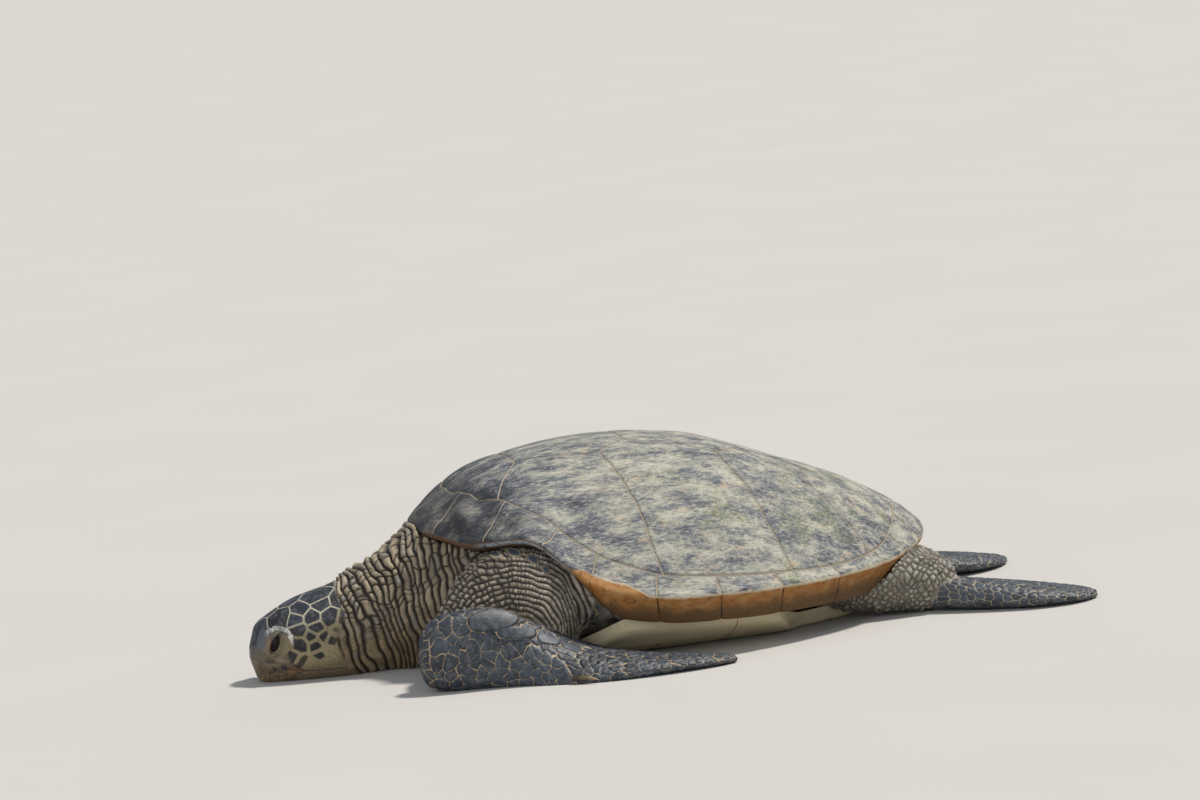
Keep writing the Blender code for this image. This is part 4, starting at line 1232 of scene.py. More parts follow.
def halved(skin, picked):
    """Halves the faces that `picked` picks by the places of their points in the head's own frame."""
    bm = bmesh.new()
    bm.from_mesh(skin.data)
    bm.verts.ensure_lookup_table()
    near = picked(into_head(np.array([v.co for v in bm.verts])))
    edges = [e for e in bm.edges if near[e.verts[0].index] and near[e.verts[1].index]]
    bmesh.ops.subdivide_edges(bm, edges=edges, cuts=1, use_grid_fill=True)
    bm.to_mesh(skin.data)
    bm.free()
    return skin


# ---------------------------------------------------------------- scales of the head
# Each scale: back from the snout, degrees round from the top, reach, pale margin, brownness.
# The ones off the midline are mirrored.
HEAD_SCALES = {
    "prefrontal": (0.0260, 24, 0.0150, 0.0010, 0.0),
    "nose": (0.0020, 14, 0.0130, 0.0005, 0.0),
    "frontal": (0.0560, 0, 0.0120, 0.0009, 0.0),
    "supraocular": (0.0640, 33, 0.0180, 0.0010, 0.1),
    "frontoparietal": (0.0900, 0, 0.0230, 0.0009, 0.0),
    "parietal": (0.1340, 19, 0.0240, 0.0010, 0.0),
    "interparietal": (0.1640, 0, 0.0120, 0.0010, 0.0),
    "temporal_1": (0.1040, 37, 0.0130, 0.0012, 0.0),
    "temporal_2": (0.1380, 42, 0.0140, 0.0012, 0.0),
    "temporal_3": (0.1660, 44, 0.0110, 0.0012, 0.2),
    "upper_1": (0.0900, 50, 0.0110, 0.0014, 0.0),
    "upper_2": (0.1180, 56, 0.0130, 0.0018, 0.0),
    "upper_3": (0.1450, 64, 0.0150, 0.0018, 0.0),
    "behind_eye_1": (0.0890, 66, 0.0110, 0.0022, 0.1),
    "middle_1": (0.1180, 71, 0.0110, 0.0022, 0.0),
    "middle_2": (0.1050, 82, 0.0080, 0.0026, 0.0),
    "middle_3": (0.1240, 89, 0.0080, 0.0026, 0.0),
    "middle_4": (0.1340, 98, 0.0095, 0.0026, 0.0),
    "behind_eye_2": (0.0810, 88, 0.0115, 0.0026, 0.0),
    "cheek_1": (0.1070, 97, 0.0085, 0.0028, 0.0),
    "cheek_2": (0.1080, 112, 0.0080, 0.0032, 0.0),
    "cheek_3": (0.0670, 103, 0.0070, 0.0028, 0.1),
    "cheek_4": (0.0760, 113, 0.0070, 0.0030, 0.5),
    "cheek_5": (0.1250, 109, 0.0070, 0.0050, 0.8),
    "rear_1": (0.1630, 74, 0.0120, 0.0030, 0.6),
    "rear_2": (0.1480, 86, 0.0090, 0.0044, 0.9),
    "rear_3": (0.1620, 98, 0.0100, 0.0075, 0.6),
    "rear_4": (0.1450, 112, 0.0100, 0.0085, 0.6),
    "jaw_1": (0.0900, 126, 0.0110, 0.0090, 0.7),
    "jaw_2": (0.1150, 128, 0.0110, 0.0100, 0.7),
    "jaw_3": (0.1380, 126, 0.0110, 0.0100, 0.7),
    "jaw_4": (0.1620, 122, 0.0110, 0.0100, 0.7),
}
CORNERS = 3.2  # how sharp the corners of a head scale's dark middle are
THROAT_SCALE = 0.013
EYE_SIDE = 0.018  # what belongs to an eye lies farther than this from the head's middle plane
LIDS_AT = (0.0495, -0.0010)
LIDS_REACH = (0.0275, 0.0245)
SLIT_HALF = (0.0205, 0.0076)  # half length and half width of the opening between the lids
NOSTRIL_AT = (0.0015, 0.0068, 0.0010)
NOSTRIL_REACH = 0.0026
SNOUT_BARE = 0.034  # how far back the smooth skin of the snout reaches, under the prefrontals


def head_spot(a, degrees, side=1):
    """The point of the head's surface at `a` whose bearing from the middle is so far round."""
    half, top, bottom, power = head_shape(a)
    middle = bottom + HEAD_MIDDLE * (top - bottom)
    angle = np.linspace(-math.pi / 2, math.pi / 2, 721)
    c, s = np.cos(angle), np.sin(angle)
    reach = 1.0 / roundness(c, s, power)
    w = half * reach * c
    b = middle + np.where(s > 0, top - middle, middle - bottom) * reach * s
    k = np.argmin(np.abs(head_bearing(w, b) - degrees))
    return np.array([a, side * w[k], b[k]])


def head_sites():
    """The centres of all the head's scales with reach, margin, brownness and a number each."""
    spots, facts = [], []
    for k, (a, degrees, reach, margin, brown) in enumerate(HEAD_SCALES.values()):
        for side in ((1,) if degrees == 0 else (-1, 1)):
            spots.append(head_spot(a, degrees, side))
            facts.append((reach, margin, brown, (k * 0.381 + 0.13 * side) % 1.0))
    for i, a in enumerate(np.arange(0.035, HEAD_END + 0.01, THROAT_SCALE)):
        for degrees in (140, 155, 170):
            for side in (-1, 1):
                shift = 0.5 * THROAT_SCALE * (degrees == 155)
                spots.append(head_spot(a + shift, degrees, side))
                facts.append((0.006, 0.02, 0.8, (i * 0.617 + degrees * 0.01) % 1.0))
    return np.array(spots), np.array(facts)


def head_scales(local):
    """Metres to the nearest border between scales, and the scale's margin, brownness and number."""
    spots, facts = head_sites()
    border = np.empty(len(local))
    nearest = np.empty(len(local), int)
    between = np.linalg.norm(spots[:, None] - spots[None], axis=-1) + 1e-9
    for start in range(0, len(local), 20000):
        part = local[start:start + 20000]
        power = ((part[:, None] - spots) ** 2).sum(-1) - facts[:, 0] ** 2
        best = power.argmin(axis=1)
        rows = np.arange(len(part))
        away = (power - power[rows, best][:, None]) / (2 * between[best])
        away[rows, best] = 1.0
        away = np.clip(away, 0.02 * MM, 0.05)
        border[start:start + 20000] = (away ** -CORNERS).sum(axis=1) ** (-1 / CORNERS)
        nearest[start:start + 20000] = best
    return border, facts[nearest, 1], facts[nearest, 2], facts[nearest, 3]


def lid_place(local):
    """Places round the eye: how far out over the lids (1 at their outer fold), metres along the slit,
    metres ahead of it, and metres outside its opening."""
    a, w, b = local.T
    out = np.hypot((a - LIDS_AT[0]) / LIDS_REACH[0], (b - LIDS_AT[1]) / LIDS_REACH[1])
    out = np.where(np.abs(w) > EYE_SIDE, out, FAR)
    da, db = a - EYE_AT[0], b - EYE_AT[1]
    along = da * math.cos(LID_SLANT) + db * math.sin(LID_SLANT)
    ahead = -da * math.sin(LID_SLANT) + db * math.cos(LID_SLANT)
    share = np.clip(np.abs(along) / SLIT_HALF[0], 0, 1)
    opening = SLIT_HALF[1] * (1 - share ** 2) ** 0.8
    outside = np.abs(ahead) - opening + np.maximum(np.abs(along) - SLIT_HALF[0], 0)
    return out, along, ahead, np.where(np.abs(w) > EYE_SIDE, outside, 1.0)


def mouth_gap(local):
    """Metres above or below the line of the mouth, behind the beak's corner."""
    a, _, b = local.T
    line = smooth(MOUTH_LINE)(a)
    return np.abs(b - line), step(0.060, 0.078, a) * (1 - step(0.115, 0.150, a))


# ---------------------------------------------------------------- relief of the skin
ENDLESS = 9999  # the period of a pattern that doesn't close on itself
FOLD = 0.0108  # from one fold of the neck to the next
NECK_AROUND = 34  # beads round the neck
PLEAT = 0.0086  # from one pleat of the shoulder to the next
PLEAT_BEAD = 0.0110  # a bead's length along a pleat
PLEATS_ROUND = (-0.350, 0.322, 0.060)  # the pleats run round this point at the wrist
HAND_SCALE, HAND_AROUND = 0.0190, 18
FOOT_SCALE, FOOT_AROUND = 0.0140, 16
KNOB = 0.0075  # the rear's knob scales
KNOB_AROUND = 14.0  # knob scales to each radian round a line at this height
KNOB_MIDDLE = 0.05
# Big plates along the top of the wrist: x, z, half length, half height, lean in degrees, rise.
WRIST_PLATES = [
    (-0.384, 0.1075, 0.0440, 0.0160, 2, 0.0042),
    (-0.350, 0.0840, 0.0350, 0.0100, -7, 0.0034),
    (-0.300, 0.0670, 0.0220, 0.0085, -16, 0.0028),
    (-0.266, 0.0520, 0.0180, 0.0075, -24, 0.0022),
]
# Oval scales of the shoulder near the shell's edge: x, z, half length, half height, lean in degrees.
SHOULDER_OVALS = [
    (-0.3520, 0.2010, 0.0090, 0.0048, 4),
    (-0.3245, 0.2020, 0.0110, 0.0058, -10),
    (-0.2985, 0.1900, 0.0115, 0.0062, -30),
    (-0.2810, 0.1720, 0.0085, 0.0058, -52),
]


def neck_relief(points):
    """Folds round the neck, broken into beads on top and smooth below."""
    travel, share, whole, _ = neck_place(points)
    top = np.sin(2 * math.pi * share)  # 1 on top, -1 underneath
    u = travel / FOLD + 0.45 * ripple(points, 0.10, 31) + 0.20 * ripple(points, 0.034, 32)
    v = share * NECK_AROUND + 0.45 * ripple(points, 0.04, 33)
    to_row, to_bead, number = rows_of_beads(u, v, FOLD, whole / NECK_AROUND, NECK_AROUND, 34)
    beaded = step(-0.45, 0.30, top + 0.25 * ripple(points, 0.05, 36))
    row = hump(to_row, 0.46 * FOLD)
    blob = hump(nearer(to_row * 1.1, to_bead * 1.5), 6.0 * MM)
    rise = row * (4.4 - 2.0 * beaded) * MM + beaded * blob * (2.8 + 3.0 * number) * MM
    rise = rise + 0.5 * MM * ripple(points, 0.007, 35)
    border = nearer(to_row, 1.5 * to_bead + 5.0 * MM * (1 - beaded))
    return rise - 4.4 * MM, border, number, beaded


def oval_place(x, z, ovals):
    """For plates listed as (x, z, half length, half height, lean ...): the nearest's index, and metres
    inside its border (negative outside)."""
    best, which = np.full(x.shape, -1.0), np.zeros(x.shape, int)
    for k, (cx, cz, length, height, degrees, *_) in enumerate(ovals):
        lean = math.radians(degrees)
        along = (x - cx) * math.cos(lean) + (z - cz) * math.sin(lean)
        across = (z - cz) * math.cos(lean) - (x - cx) * math.sin(lean)
        inside = (1 - roundness(along / length, across / height, 3)) * height
        which = np.where(inside > best, k, which)
        best = np.maximum(best, inside)
    return which, best


def shoulder_relief(points, side):
    """Pleats of beads in arcs over the wrist, and longer smooth folds behind them."""
    x, z = points[:, 0] - PLEATS_ROUND[0], points[:, 2] - PLEATS_ROUND[2]
    w = side * points[:, 1] - PLEATS_ROUND[1]
    reach = np.sqrt(x * x + z * z + 0.45 * w * w)
    bearing = np.arctan2(z, x)
    u = reach / PLEAT + 0.50 * ripple(points, 0.08, 41) + 0.16 * ripple(points, 0.028, 42)
    rear = step(0.0, 1.0, x / np.maximum(np.abs(z), 0.02))
    arc = np.maximum(np.floor(u) + 0.5, 3) * PLEAT
    v = bearing * arc / PLEAT_BEAD * (1 - 0.55 * rear) + 0.3 * ripple(points, 0.04, 43)
    to_row, to_bead, number = rows_of_beads(u, v, PLEAT, PLEAT_BEAD * (1 + rear), ENDLESS, 44)
    row, blob = hump(to_row, 0.46 * PLEAT), hump(nearer(to_row * 1.2, to_bead), 5.0 * MM)
    rise = row * (2.0 + 1.2 * rear) * MM + blob * (1.8 + 2.0 * number) * (1 - 0.5 * rear) * MM
    rise = rise + 0.4 * MM * ripple(points, 0.007, 45)
    border = nearer(to_row, to_bead + 1.5 * MM * rear)
    which, inside = oval_place(points[:, 0], points[:, 2], SHOULDER_OVALS)
    on = step(-0.6 * MM, 0.8 * MM, inside) * (w > -0.10)
    rise = rise * (1 - on) + on * 4.0 * MM
    border = np.where((inside > 0) & (w > -0.10), inside, border)
    return rise - 3.4 * MM, border, np.where(on > 0.5, 0.2 * which, number), on


def flipper_relief(points, name, side):
    """Flat-topped scales with thin seams, larger along the edges of the blade."""
    scale, around = (HAND_SCALE, HAND_AROUND) if name == "hand" else (FOOT_SCALE, FOOT_AROUND)
    travel, share, whole, _ = limb_place(points, name, side)
    u = travel / scale + 0.35 * ripple(points, 0.06, 51)
    v = around * (share + 0.022 * np.sin(4 * math.pi * share)) + 0.3 * ripple(points, 0.04, 52)
    border, number = cells(u, v, scale, whole / around, around, 0.6, 53)
    rise = 2.0 * MM * hump(border, 4.5 * MM) + 0.25 * MM * ripple(points, 0.01, 54)
    if name == "hand":
        which, inside = oval_place(points[:, 0], points[:, 2], WRIST_PLATES)
        lifts = np.array([plate_facts[5] for plate_facts in WRIST_PLATES])[which]
        front = side * points[:, 1] > smooth(LIMBS["hand"])(points[:, 0])[:, 0] - 0.006
        on = step(-0.5 * MM, 0.6 * MM, inside) * front
        rise = rise * (1 - on) + on * (1.5 * MM + lifts * step(0, 1.8 * MM, inside))
        border = np.where(front & (inside > 0), inside, border)
        number = np.where(on > 0.5, 0.17 * which + 0.3, number)
    return rise - 1.2 * MM, border, number, np.zeros(len(points))


def rear_relief(points):
    """Knobby scales of the thighs, the tail and the skin between them."""
    up, across = points[:, 2] - KNOB_MIDDLE, points[:, 1]
    bearing, reach = np.arctan2(up, across), np.hypot(up, across)
    u = points[:, 0] / KNOB + 0.4 * ripple(points, 0.05, 61)
    v = bearing * KNOB_AROUND + 0.4 * ripple(points, 0.04, 62)
    border, number = cells(u, v, KNOB, np.maximum(reach, 0.04) / KNOB_AROUND, ENDLESS, 0.6, 63)
    knob = 0.6 + 0.8 * number
    rise = 3.0 * MM * knob * hump(border, 4.6 * MM) + 2.2 * MM * ripple(points, 0.036, 64)
    return rise - 2.8 * MM, border, number, knob


def head_relief(points):
    """The head's scales, lids, nostrils and the crease of the mouth."""
    local = into_head(points)
    a, w, b = local.T
    border, margin, brown, number = head_scales(local)
    out, along, ahead, outside = lid_place(local)
    round_eye = np.degrees(np.arctan2(b - LIDS_AT[1], a - LIDS_AT[0]))  # 0 behind the eye, 90 above it
    frill = out + 0.05 * ripple(local, 0.006, 73)
    upper = step(-38, -8, round_eye) * (1 - step(96, 146, round_eye))
    ahead_of_eye = step(-0.15, 0.5, (LIDS_AT[0] - a) / LIDS_REACH[0])
    lids = 1 - step(0.93 - 0.45 * (1 - upper) * ahead_of_eye, 1.03, frill)
    bare = (1 - step(SNOUT_BARE - 0.006, SNOUT_BARE, a)) * step(0.000, 0.012, -b + 0.25 * a + 0.004)
    below_eye = (1 - step(0.052, 0.060, a)) * (1 - step(-0.026, -0.020, b))
    bare = np.maximum(np.maximum(bare, below_eye), ahead_of_eye * (out < 1.25) * (1 - upper))
    plain = np.maximum(np.maximum(lids, bare), 1 - step(0.014, 0.022, a))
    rise = 0.9 * MM * (1 - np.exp(-border / (0.9 * MM))) * (1 - plain) - 0.7 * MM * (1 - plain)
    waves = np.sin(2 * math.pi * outside / (2.6 * MM) + 1.8 * ripple(local, 0.012, 71))
    behind_eye = lids * (1 - ahead_of_eye)
    rise = rise + behind_eye * 0.40 * MM * waves * step(0.8 * MM, 3.5 * MM, outside)
    rise = rise + 0.9 * MM * bell(outside - 1.2 * MM, 1.5 * MM)
    fold = step(0.66, 0.80, frill) * (1 - step(0.95, 1.03, frill))
    crinkle = 1 + 0.45 * ripple(np.column_stack([round_eye / 4000, frill / 300, w / 9]), 0.0042, 74)
    rise = rise + upper * (1.4 * MM * fold * crinkle - 0.9 * MM * bell(frill - 0.64, 0.05)
                           - 0.8 * MM * bell(frill - 1.06, 0.05))
    gap, open_mouth = mouth_gap(local)
    rise = rise - 1.6 * MM * open_mouth * bell(gap, 1.3 * MM)
    nose = np.linalg.norm(np.stack([a, np.abs(w), b], -1) - NOSTRIL_AT, axis=1)
    rise = rise - 3.0 * MM * bell(nose, NOSTRIL_REACH)
    rise = rise + 0.5 * MM * bell(nose - 0.0042, 0.0012)
    rise = rise + 0.12 * MM * ripple(local, 0.004, 72)
    facts = {"lids": lids, "bare": bare * (1 - lids), "margin": margin, "brown": brown,
             "fold": fold * upper * step(0.15, 0.75, crinkle - 0.15 * waves),
             "blotch": bell(out - 0.74, 0.13) * bell(round_eye - 22, 13),
             "ahead_of_eye": ahead_of_eye, "waves": waves,
             "outside": outside, "ahead": ahead, "along": along,
             "nose": bell(nose, NOSTRIL_REACH), "local": local,
             "mouth": open_mouth * bell(gap, 1.6 * MM)}
    return rise, np.where(plain > 0.25, 0.01, border), number, facts


def opened_lids(points, outside, local):
    """Sinks the skin between the lids to just behind the eyeball's face."""
    a, b, w = EYE_AT
    sunk = points.copy()
    near = (outside < 1.2 * MM) & (np.abs(local[:, 1]) > EYE_SIDE)
    for side in (-1, 1):
        mine = near & (np.sign(local[:, 1]) == side)
        centre = out_of_head(np.array([a, side * w, b]))
        ray = points[mine] - centre
        ray /= np.linalg.norm(ray, axis=1, keepdims=True)
        share = (1 - step(-0.45 * MM, 0.45 * MM, outside[mine]))[:, None]
        sunk[mine] = points[mine] * (1 - share) + (centre + ray * (EYE_RADIUS - 2.5 * MM)) * share
    return sunk


# ---------------------------------------------------------------- colours of the skin
# Linear colours: of the ground, in grooves and seams, and of the tops of scales, folds and beads.
TONES = {
    # The near-black grounds of the neck, throat, shoulder and loose skin, and the darker ground of the
    # rear, are painted shade in the creases between folds, beads and knobs.
    "neck": ((0.018, 0.012, 0.008), (0.285, 0.228, 0.155)),
    # the throat's tones, laid on the neck's underside, are darker than the neck's: painted shade
    # underneath
    "throat": ((0.022, 0.014, 0.008), (0.190, 0.138, 0.078)),
    "shoulder": ((0.022, 0.015, 0.010), (0.270, 0.222, 0.165)),
    "loose": ((0.045, 0.032, 0.022), (0.390, 0.345, 0.285)),
    "hand": ((0.420, 0.300, 0.170), (0.026, 0.034, 0.046)),
    "foot": ((0.340, 0.280, 0.185), (0.038, 0.048, 0.062)),
    "rear": ((0.120, 0.095, 0.062), (0.270, 0.262, 0.225)),
    "crown": ((0.500, 0.460, 0.350), (0.020, 0.023, 0.032)),
    "cheek": ((0.255, 0.212, 0.120), (0.005, 0.005, 0.006)),
    "low_cheek": ((0.155, 0.115, 0.062), (0.100, 0.072, 0.038)),
    "brown": ((0.270, 0.220, 0.125), (0.085, 0.054, 0.026)),
    "lids": ((0.150, 0.120, 0.065), (0.190, 0.155, 0.085)),
    "lid_streak": ((0.060, 0.046, 0.026), (0.075, 0.058, 0.032)),
    "lid_fold": ((0.430, 0.425, 0.400), (0.520, 0.515, 0.485)),
    "lid_edge": ((0.120, 0.045, 0.028), (0.150, 0.058, 0.036)),
    "snout": ((0.120, 0.090, 0.055), (0.160, 0.120, 0.075)),
    "snout_dark": ((0.040, 0.034, 0.028), (0.055, 0.046, 0.036)),
    "snout_top": ((0.048, 0.056, 0.072), (0.058, 0.068, 0.086)),
    # hollow: near black, laid as painted shade in the cheeks' creases, the nostrils, the mouth's crease
    # and between the lids, and on a dark blotch behind the eye
    "hollow": ((0.010, 0.008, 0.007), (0.012, 0.010, 0.008)),
    "oval": ((0.300, 0.240, 0.160), (0.060, 0.080, 0.110)),
}


class Paint:
    """The ground and top colours of every point, laid on one tone after another."""

    def __init__(self, count, tone):
        self.ground = np.tile(np.array(TONES[tone][0]), (count, 1))
        self.top = np.tile(np.array(TONES[tone][1]), (count, 1))

    def lay(self, tone, share):
        share = np.asarray(share)[:, None]
        self.ground += (np.array(TONES[tone][0]) - self.ground) * share
        self.top += (np.array(TONES[tone][1]) - self.top) * share


def set_colours(mesh, name, values):
    layer = mesh.attributes.get(name) or mesh.attributes.new(name, "FLOAT_COLOR", "POINT")
    full = np.concatenate([values, np.ones((len(values), 1))], axis=1)
    layer.data.foreach_set("color", np.ascontiguousarray(full, np.float32).ravel())


def trunk_off(points):
    """Metres outside the trunk, roughly."""
    x = points[:, 0]
    half, top, bottom = np.moveaxis(smooth(TRUNK_SECTIONS)(x), -1, 0)
    height = (top - bottom) / 2
    radius = roundness(points[:, 1] / half, (points[:, 2] - (top + bottom) / 2) / height, TRUNK_POWER)
    beyond = np.maximum(TRUNK_SECTIONS[0][0] - x, 0) + np.maximum(x - TRUNK_SECTIONS[-1][0], 0)
    return (radius - 1) * height + beyond


def zones(points, around):
    """Smooth shares of each zone at every point: head, neck, trunk, and each limb."""
    local = into_head(points)
    bearing = head_bearing(local[:, 1], local[:, 2])
    last = HEAD_END - 0.002 - 0.028 * step(62, 108, bearing) + 0.0025 * ripple(points, 0.020, 65)
    offs = {("head", 1): head_off(local) + FAR * (local[:, 0] > last),
            ("neck", 1): neck_place(points)[3],
            ("trunk", 1): trunk_off(points) + FAR * (points[:, 0] < -0.19)}
    for name in LIMBS:
        for side in sides_of(name):
            offs[name, side] = limb_place(points, name, side)[3]
            offs[name, side][side * points[:, 1] < -0.06] = FAR
    keys = list(offs)
    owner = np.argmin(np.stack([offs[key] for key in keys]), axis=0)
    shares = np.stack([(owner == k).astype(float) for k in range(len(keys))], axis=-1)
    shares = around.relaxed(shares, 5, 0.9)
    return {key: shares[:, k] for k, key in enumerate(keys)}


def zone_relief(name, side, points):
    """One zone's rise, metres to a border, each scale's number, and what else its colours need."""
    if name == "head":
        return head_relief(points)
    if name == "neck":
        return neck_relief(points)
    if name == "upper_arm":
        return shoulder_relief(points, side)
    if name in ("hand", "foot"):
        return flipper_relief(points, name, side)
    return rear_relief(points)


class Coat:
    """The skin's zones and relief at every point, before it is moved."""

    def __init__(self, points, around):
        self.points = points
        self.count = len(points)
        self.shares = zones(points, around)
        self.rise = np.zeros(self.count)
        self.seam = np.full(self.count, 0.01)
        self.number = np.zeros(self.count)
        self.found = {}
        strongest = np.zeros(self.count)
        for (name, side), weight in self.shares.items():
            here = np.nonzero(weight > 0.01)[0]
            lift, border, numbers, extra = zone_relief(name, side, points[here])
            self.found[name, side] = (here, extra)
            self.rise[here] += lift * weight[here]
            wins = weight[here] > strongest[here]
            mine = here[wins]
            strongest[mine] = weight[mine]
            self.seam[mine] = border[wins]
            self.number[mine] = numbers[wins]

    def total(self, name):
        """The share of a zone's both sides."""
        return sum(weight for (zone, _), weight in self.shares.items() if zone == name)

    def spread(self, name, side, values):
        """Values known on one zone's points, with 0 everywhere else."""
        full = np.zeros(self.count)
        full[self.found[name, side][0]] = values
        return full

    def of_head(self, key):
        """What the head's relief says under this key, on every point."""
        return self.spread("head", 1, self.found["head", 1][1][key])


def paint_body(paint, coat):
    """The colours of the neck, the trunk and the limbs."""
    x = coat.points[:, 0]
    round_share = neck_place(coat.points)[1]
    neck, arm = coat.total("neck"), coat.total("upper_arm")
    paint.lay("neck", neck)
    # the neck's underside is laid darker: painted shade
    paint.lay("throat", neck * step(0.25, -0.35, np.sin(2 * math.pi * round_share)))
    paint.lay("loose", coat.total("trunk") * step(0.05, -0.10, x))
    paint.lay("shoulder", arm)
    paint.lay("loose", arm * step(-0.34, -0.26, x))
    for side in (-1, 1):
        ovals = coat.spread("upper_arm", side, coat.found["upper_arm", side][1])
        paint.lay("oval", ovals * coat.shares["upper_arm", side])
    paint.lay("hand", coat.total("hand"))
    paint.lay("foot", coat.total("foot"))


def paint_head(paint, coat, local, bearing):
    """The colours of the crown and the cheeks, with painted shade in the cheeks' crossed creases."""
    head = coat.shares["head", 1]
    paint.lay("crown", head)
    paint.lay("cheek", head * step(48, 78, bearing))
    paint.lay("brown", head * coat.of_head("brown") * 0.9)
    low_cheek = np.maximum(step(0.120, 0.160, local[:, 0]) * step(70, 100, bearing),
                           step(112, 132, bearing))
    paint.lay("low_cheek", head * low_cheek * 0.8)
    crossed = [np.abs(np.sin(math.pi * (local[:, 0] + lean * local[:, 2]) / (7.0 * MM)
                             + 1.2 * ripple(local, 0.03, seed)))
               for lean, seed in ((0.9, 76), (-0.7, 77))]
    # crossed creases of the lower cheek, drawn only in colour as painted shade
    creases = step(0.20, 0.02, np.minimum(*crossed)) * step(104, 122, bearing)
    paint.lay("hollow", head * creases * 0.45)


def paint_face(paint, coat, local):
    """The colours of the snout and the lids, with painted shade in the nostrils, the mouth's crease and
    between the lids.
    """
    head, lids, outside = coat.shares["head", 1], coat.of_head("lids"), coat.of_head("outside")
    bare = head * coat.of_head("bare")
    cloud = ripple(local, 0.016, 75)
    height = local[:, 2] + 0.004 * cloud
    paint.lay("snout", bare)
    paint.lay("snout_dark", bare * step(-0.2, 1.1, cloud) * 0.75)
    paint.lay("snout_top", bare * step(-0.020, 0.006, height))
    paint.lay("snout", head * lids)
    paint.lay("snout_top", head * lids * 0.7 * step(0.000, 0.016, height))
    behind_eye = head * (lids * (1 - coat.of_head("ahead_of_eye")))
    paint.lay("lids", behind_eye)
    paint.lay("lid_streak", behind_eye * step(0.1, 0.9, coat.of_head("waves")) * 0.75)
    paint.lay("lid_fold", head * coat.of_head("fold") * 0.9)
    paint.lay("hollow", behind_eye * step(0.5, 0.8, coat.of_head("blotch")) * 0.7)
    inner = (lids * step(3.6 * MM, 0.8 * MM, outside) * step(0.0, 2 * MM, coat.of_head("ahead"))
             * step(8 * MM, -4 * MM, coat.of_head("along")))
    paint.lay("lid_edge", head * inner)
    # painted shade in the nostrils and the mouth's crease
    paint.lay("hollow", head * np.maximum(coat.of_head("nose"), coat.of_head("mouth") * 0.6))
    # painted shade on the skin sunk between the lids
    paint.lay("hollow", head * lids * step(0.2 * MM, -0.5 * MM, outside))


def dressed_skin(skin):
    """Raises the skin's relief and paints its two colours."""
    mesh = skin.data
    points, normals = read_vectors(mesh), read_vectors(mesh, "normal")
    coat = Coat(points, Neighbours(mesh))
    local = into_head(points)
    bearing = head_bearing(local[:, 1], local[:, 2])
    paint = Paint(coat.count, "rear")
    paint_body(paint, coat)
    paint_head(paint, coat, local, bearing)
    paint_face(paint, coat, local)
    head = coat.shares["head", 1]
    margin = 0.8 * MM - 0.20 * MM * coat.total("hand")
    margin = np.where(head > 0.5, coat.of_head("margin"), margin)
    soft = sum(coat.total(name) for name in ("neck", "trunk", "upper_arm", "thigh", "tail"))
    gloss = coat.total("hand") + coat.total("foot") + head * (1 - 0.75 * step(62, 84, bearing))
    points = points + normals * coat.rise[:, None]
    here, facts = coat.found["head", 1]
    points[here] = opened_lids(points[here], np.where(head[here] > 0.5, facts["outside"], 1.0),
                               facts["local"])
    write_points(mesh, settled(points))
    for name, values in {"seam": coat.seam, "number": coat.number, "margin": margin,
                         "soft": np.clip(soft, 0, 1), "gloss": gloss}.items():
        set_attribute(mesh, name, values)
    set_colours(mesh, "ground", paint.ground)
    set_colours(mesh, "top", paint.top)
    return skin


SKIN_NODES = ["trunk", "neck", "head", "lower_jaw", "tail"] + [
    f"{part}_{side}" for part in ("upper_arm", "hand", "thigh", "foot") for side in ("left", "right")]


def make_skin(material):
    """The one skin over all the flesh, finest on the head and finer still round the eyes."""
    skin = dressed_skin(halved(halved(blank_skin(), on_head), at_lids))
    skin.data.shade_smooth()
    finish_piece(skin, material, "skin", *SKIN_NODES)


# ---------------------------------------------------------------- the beak
BEAK_VOXEL = 0.9 * MM
BEAK_ROOT = 2.0 * MM  # how far the horn reaches under the skin
BEAK_TONES = {
    "front": (0.120, 0.082, 0.045),
    "ochre": (0.230, 0.150, 0.070),
    "orange": (0.150, 0.070, 0.028),
    "dark": (0.014, 0.016, 0.022),
    "pale": (0.280, 0.220, 0.130),
    "brown": (0.050, 0.032, 0.016),
    "skin": (0.125, 0.095, 0.058),
}


def beak_colour(local, upper):
    """The horn's colour: streaks that run down to the mouth, darker and bluer behind the front."""
    a, w, b = local.T
    streaks = np.column_stack([a, w, 0.16 * b])
    fine = ripple(streaks, 0.0035, 81, 9)
    broad = ripple(streaks, 0.013, 82, 9)
    colour = np.tile(np.array(BEAK_TONES["front" if upper else "ochre"]), (len(local), 1))

    def lay(tone, share):
        nonlocal colour
        colour = colour + (np.array(BEAK_TONES[tone]) - colour) * share[:, None]

    mouth = smooth(MOUTH_LINE)(a)
    gap = np.abs(b - mouth)
    lay("ochre", 0.7 * step(-0.1, 1.0, broad))
    lay("brown", 0.7 * step(0.1, 0.9, fine - 0.5 * broad))
    if upper:
        lay("orange", step(0.038, 0.052, a + 0.004 * broad) * 0.85)
        blue = step(0.018, 0.030, a) * (1 - step(0.044, 0.058, a))
        lay("dark", blue * step(-0.55, 0.25, broad + 0.6 * fine) * step(0.5 * MM, 6 * MM, gap))
        lay("dark", step(0.05, 0.06, a) * step(0.35, 0.8, fine + 0.3 * broad))
    else:
        lay("brown", step(0.03, 0.06, a) * 0.5)
        lay("dark", 0.6 * step(0.45, 1.0, broad + 0.3 * fine))
    lay("pale", 0.45 * (1 - step(0.3 * MM, 2.2 * MM, gap)))
    if upper:
        root = smooth(UPPER_BEAK_LINE)(a) - b
        lay("skin", (1 - step(0.0, 8 * MM, root + 2.5 * MM * broad)) * (1 - step(0.050, 0.062, a)))
    return colour


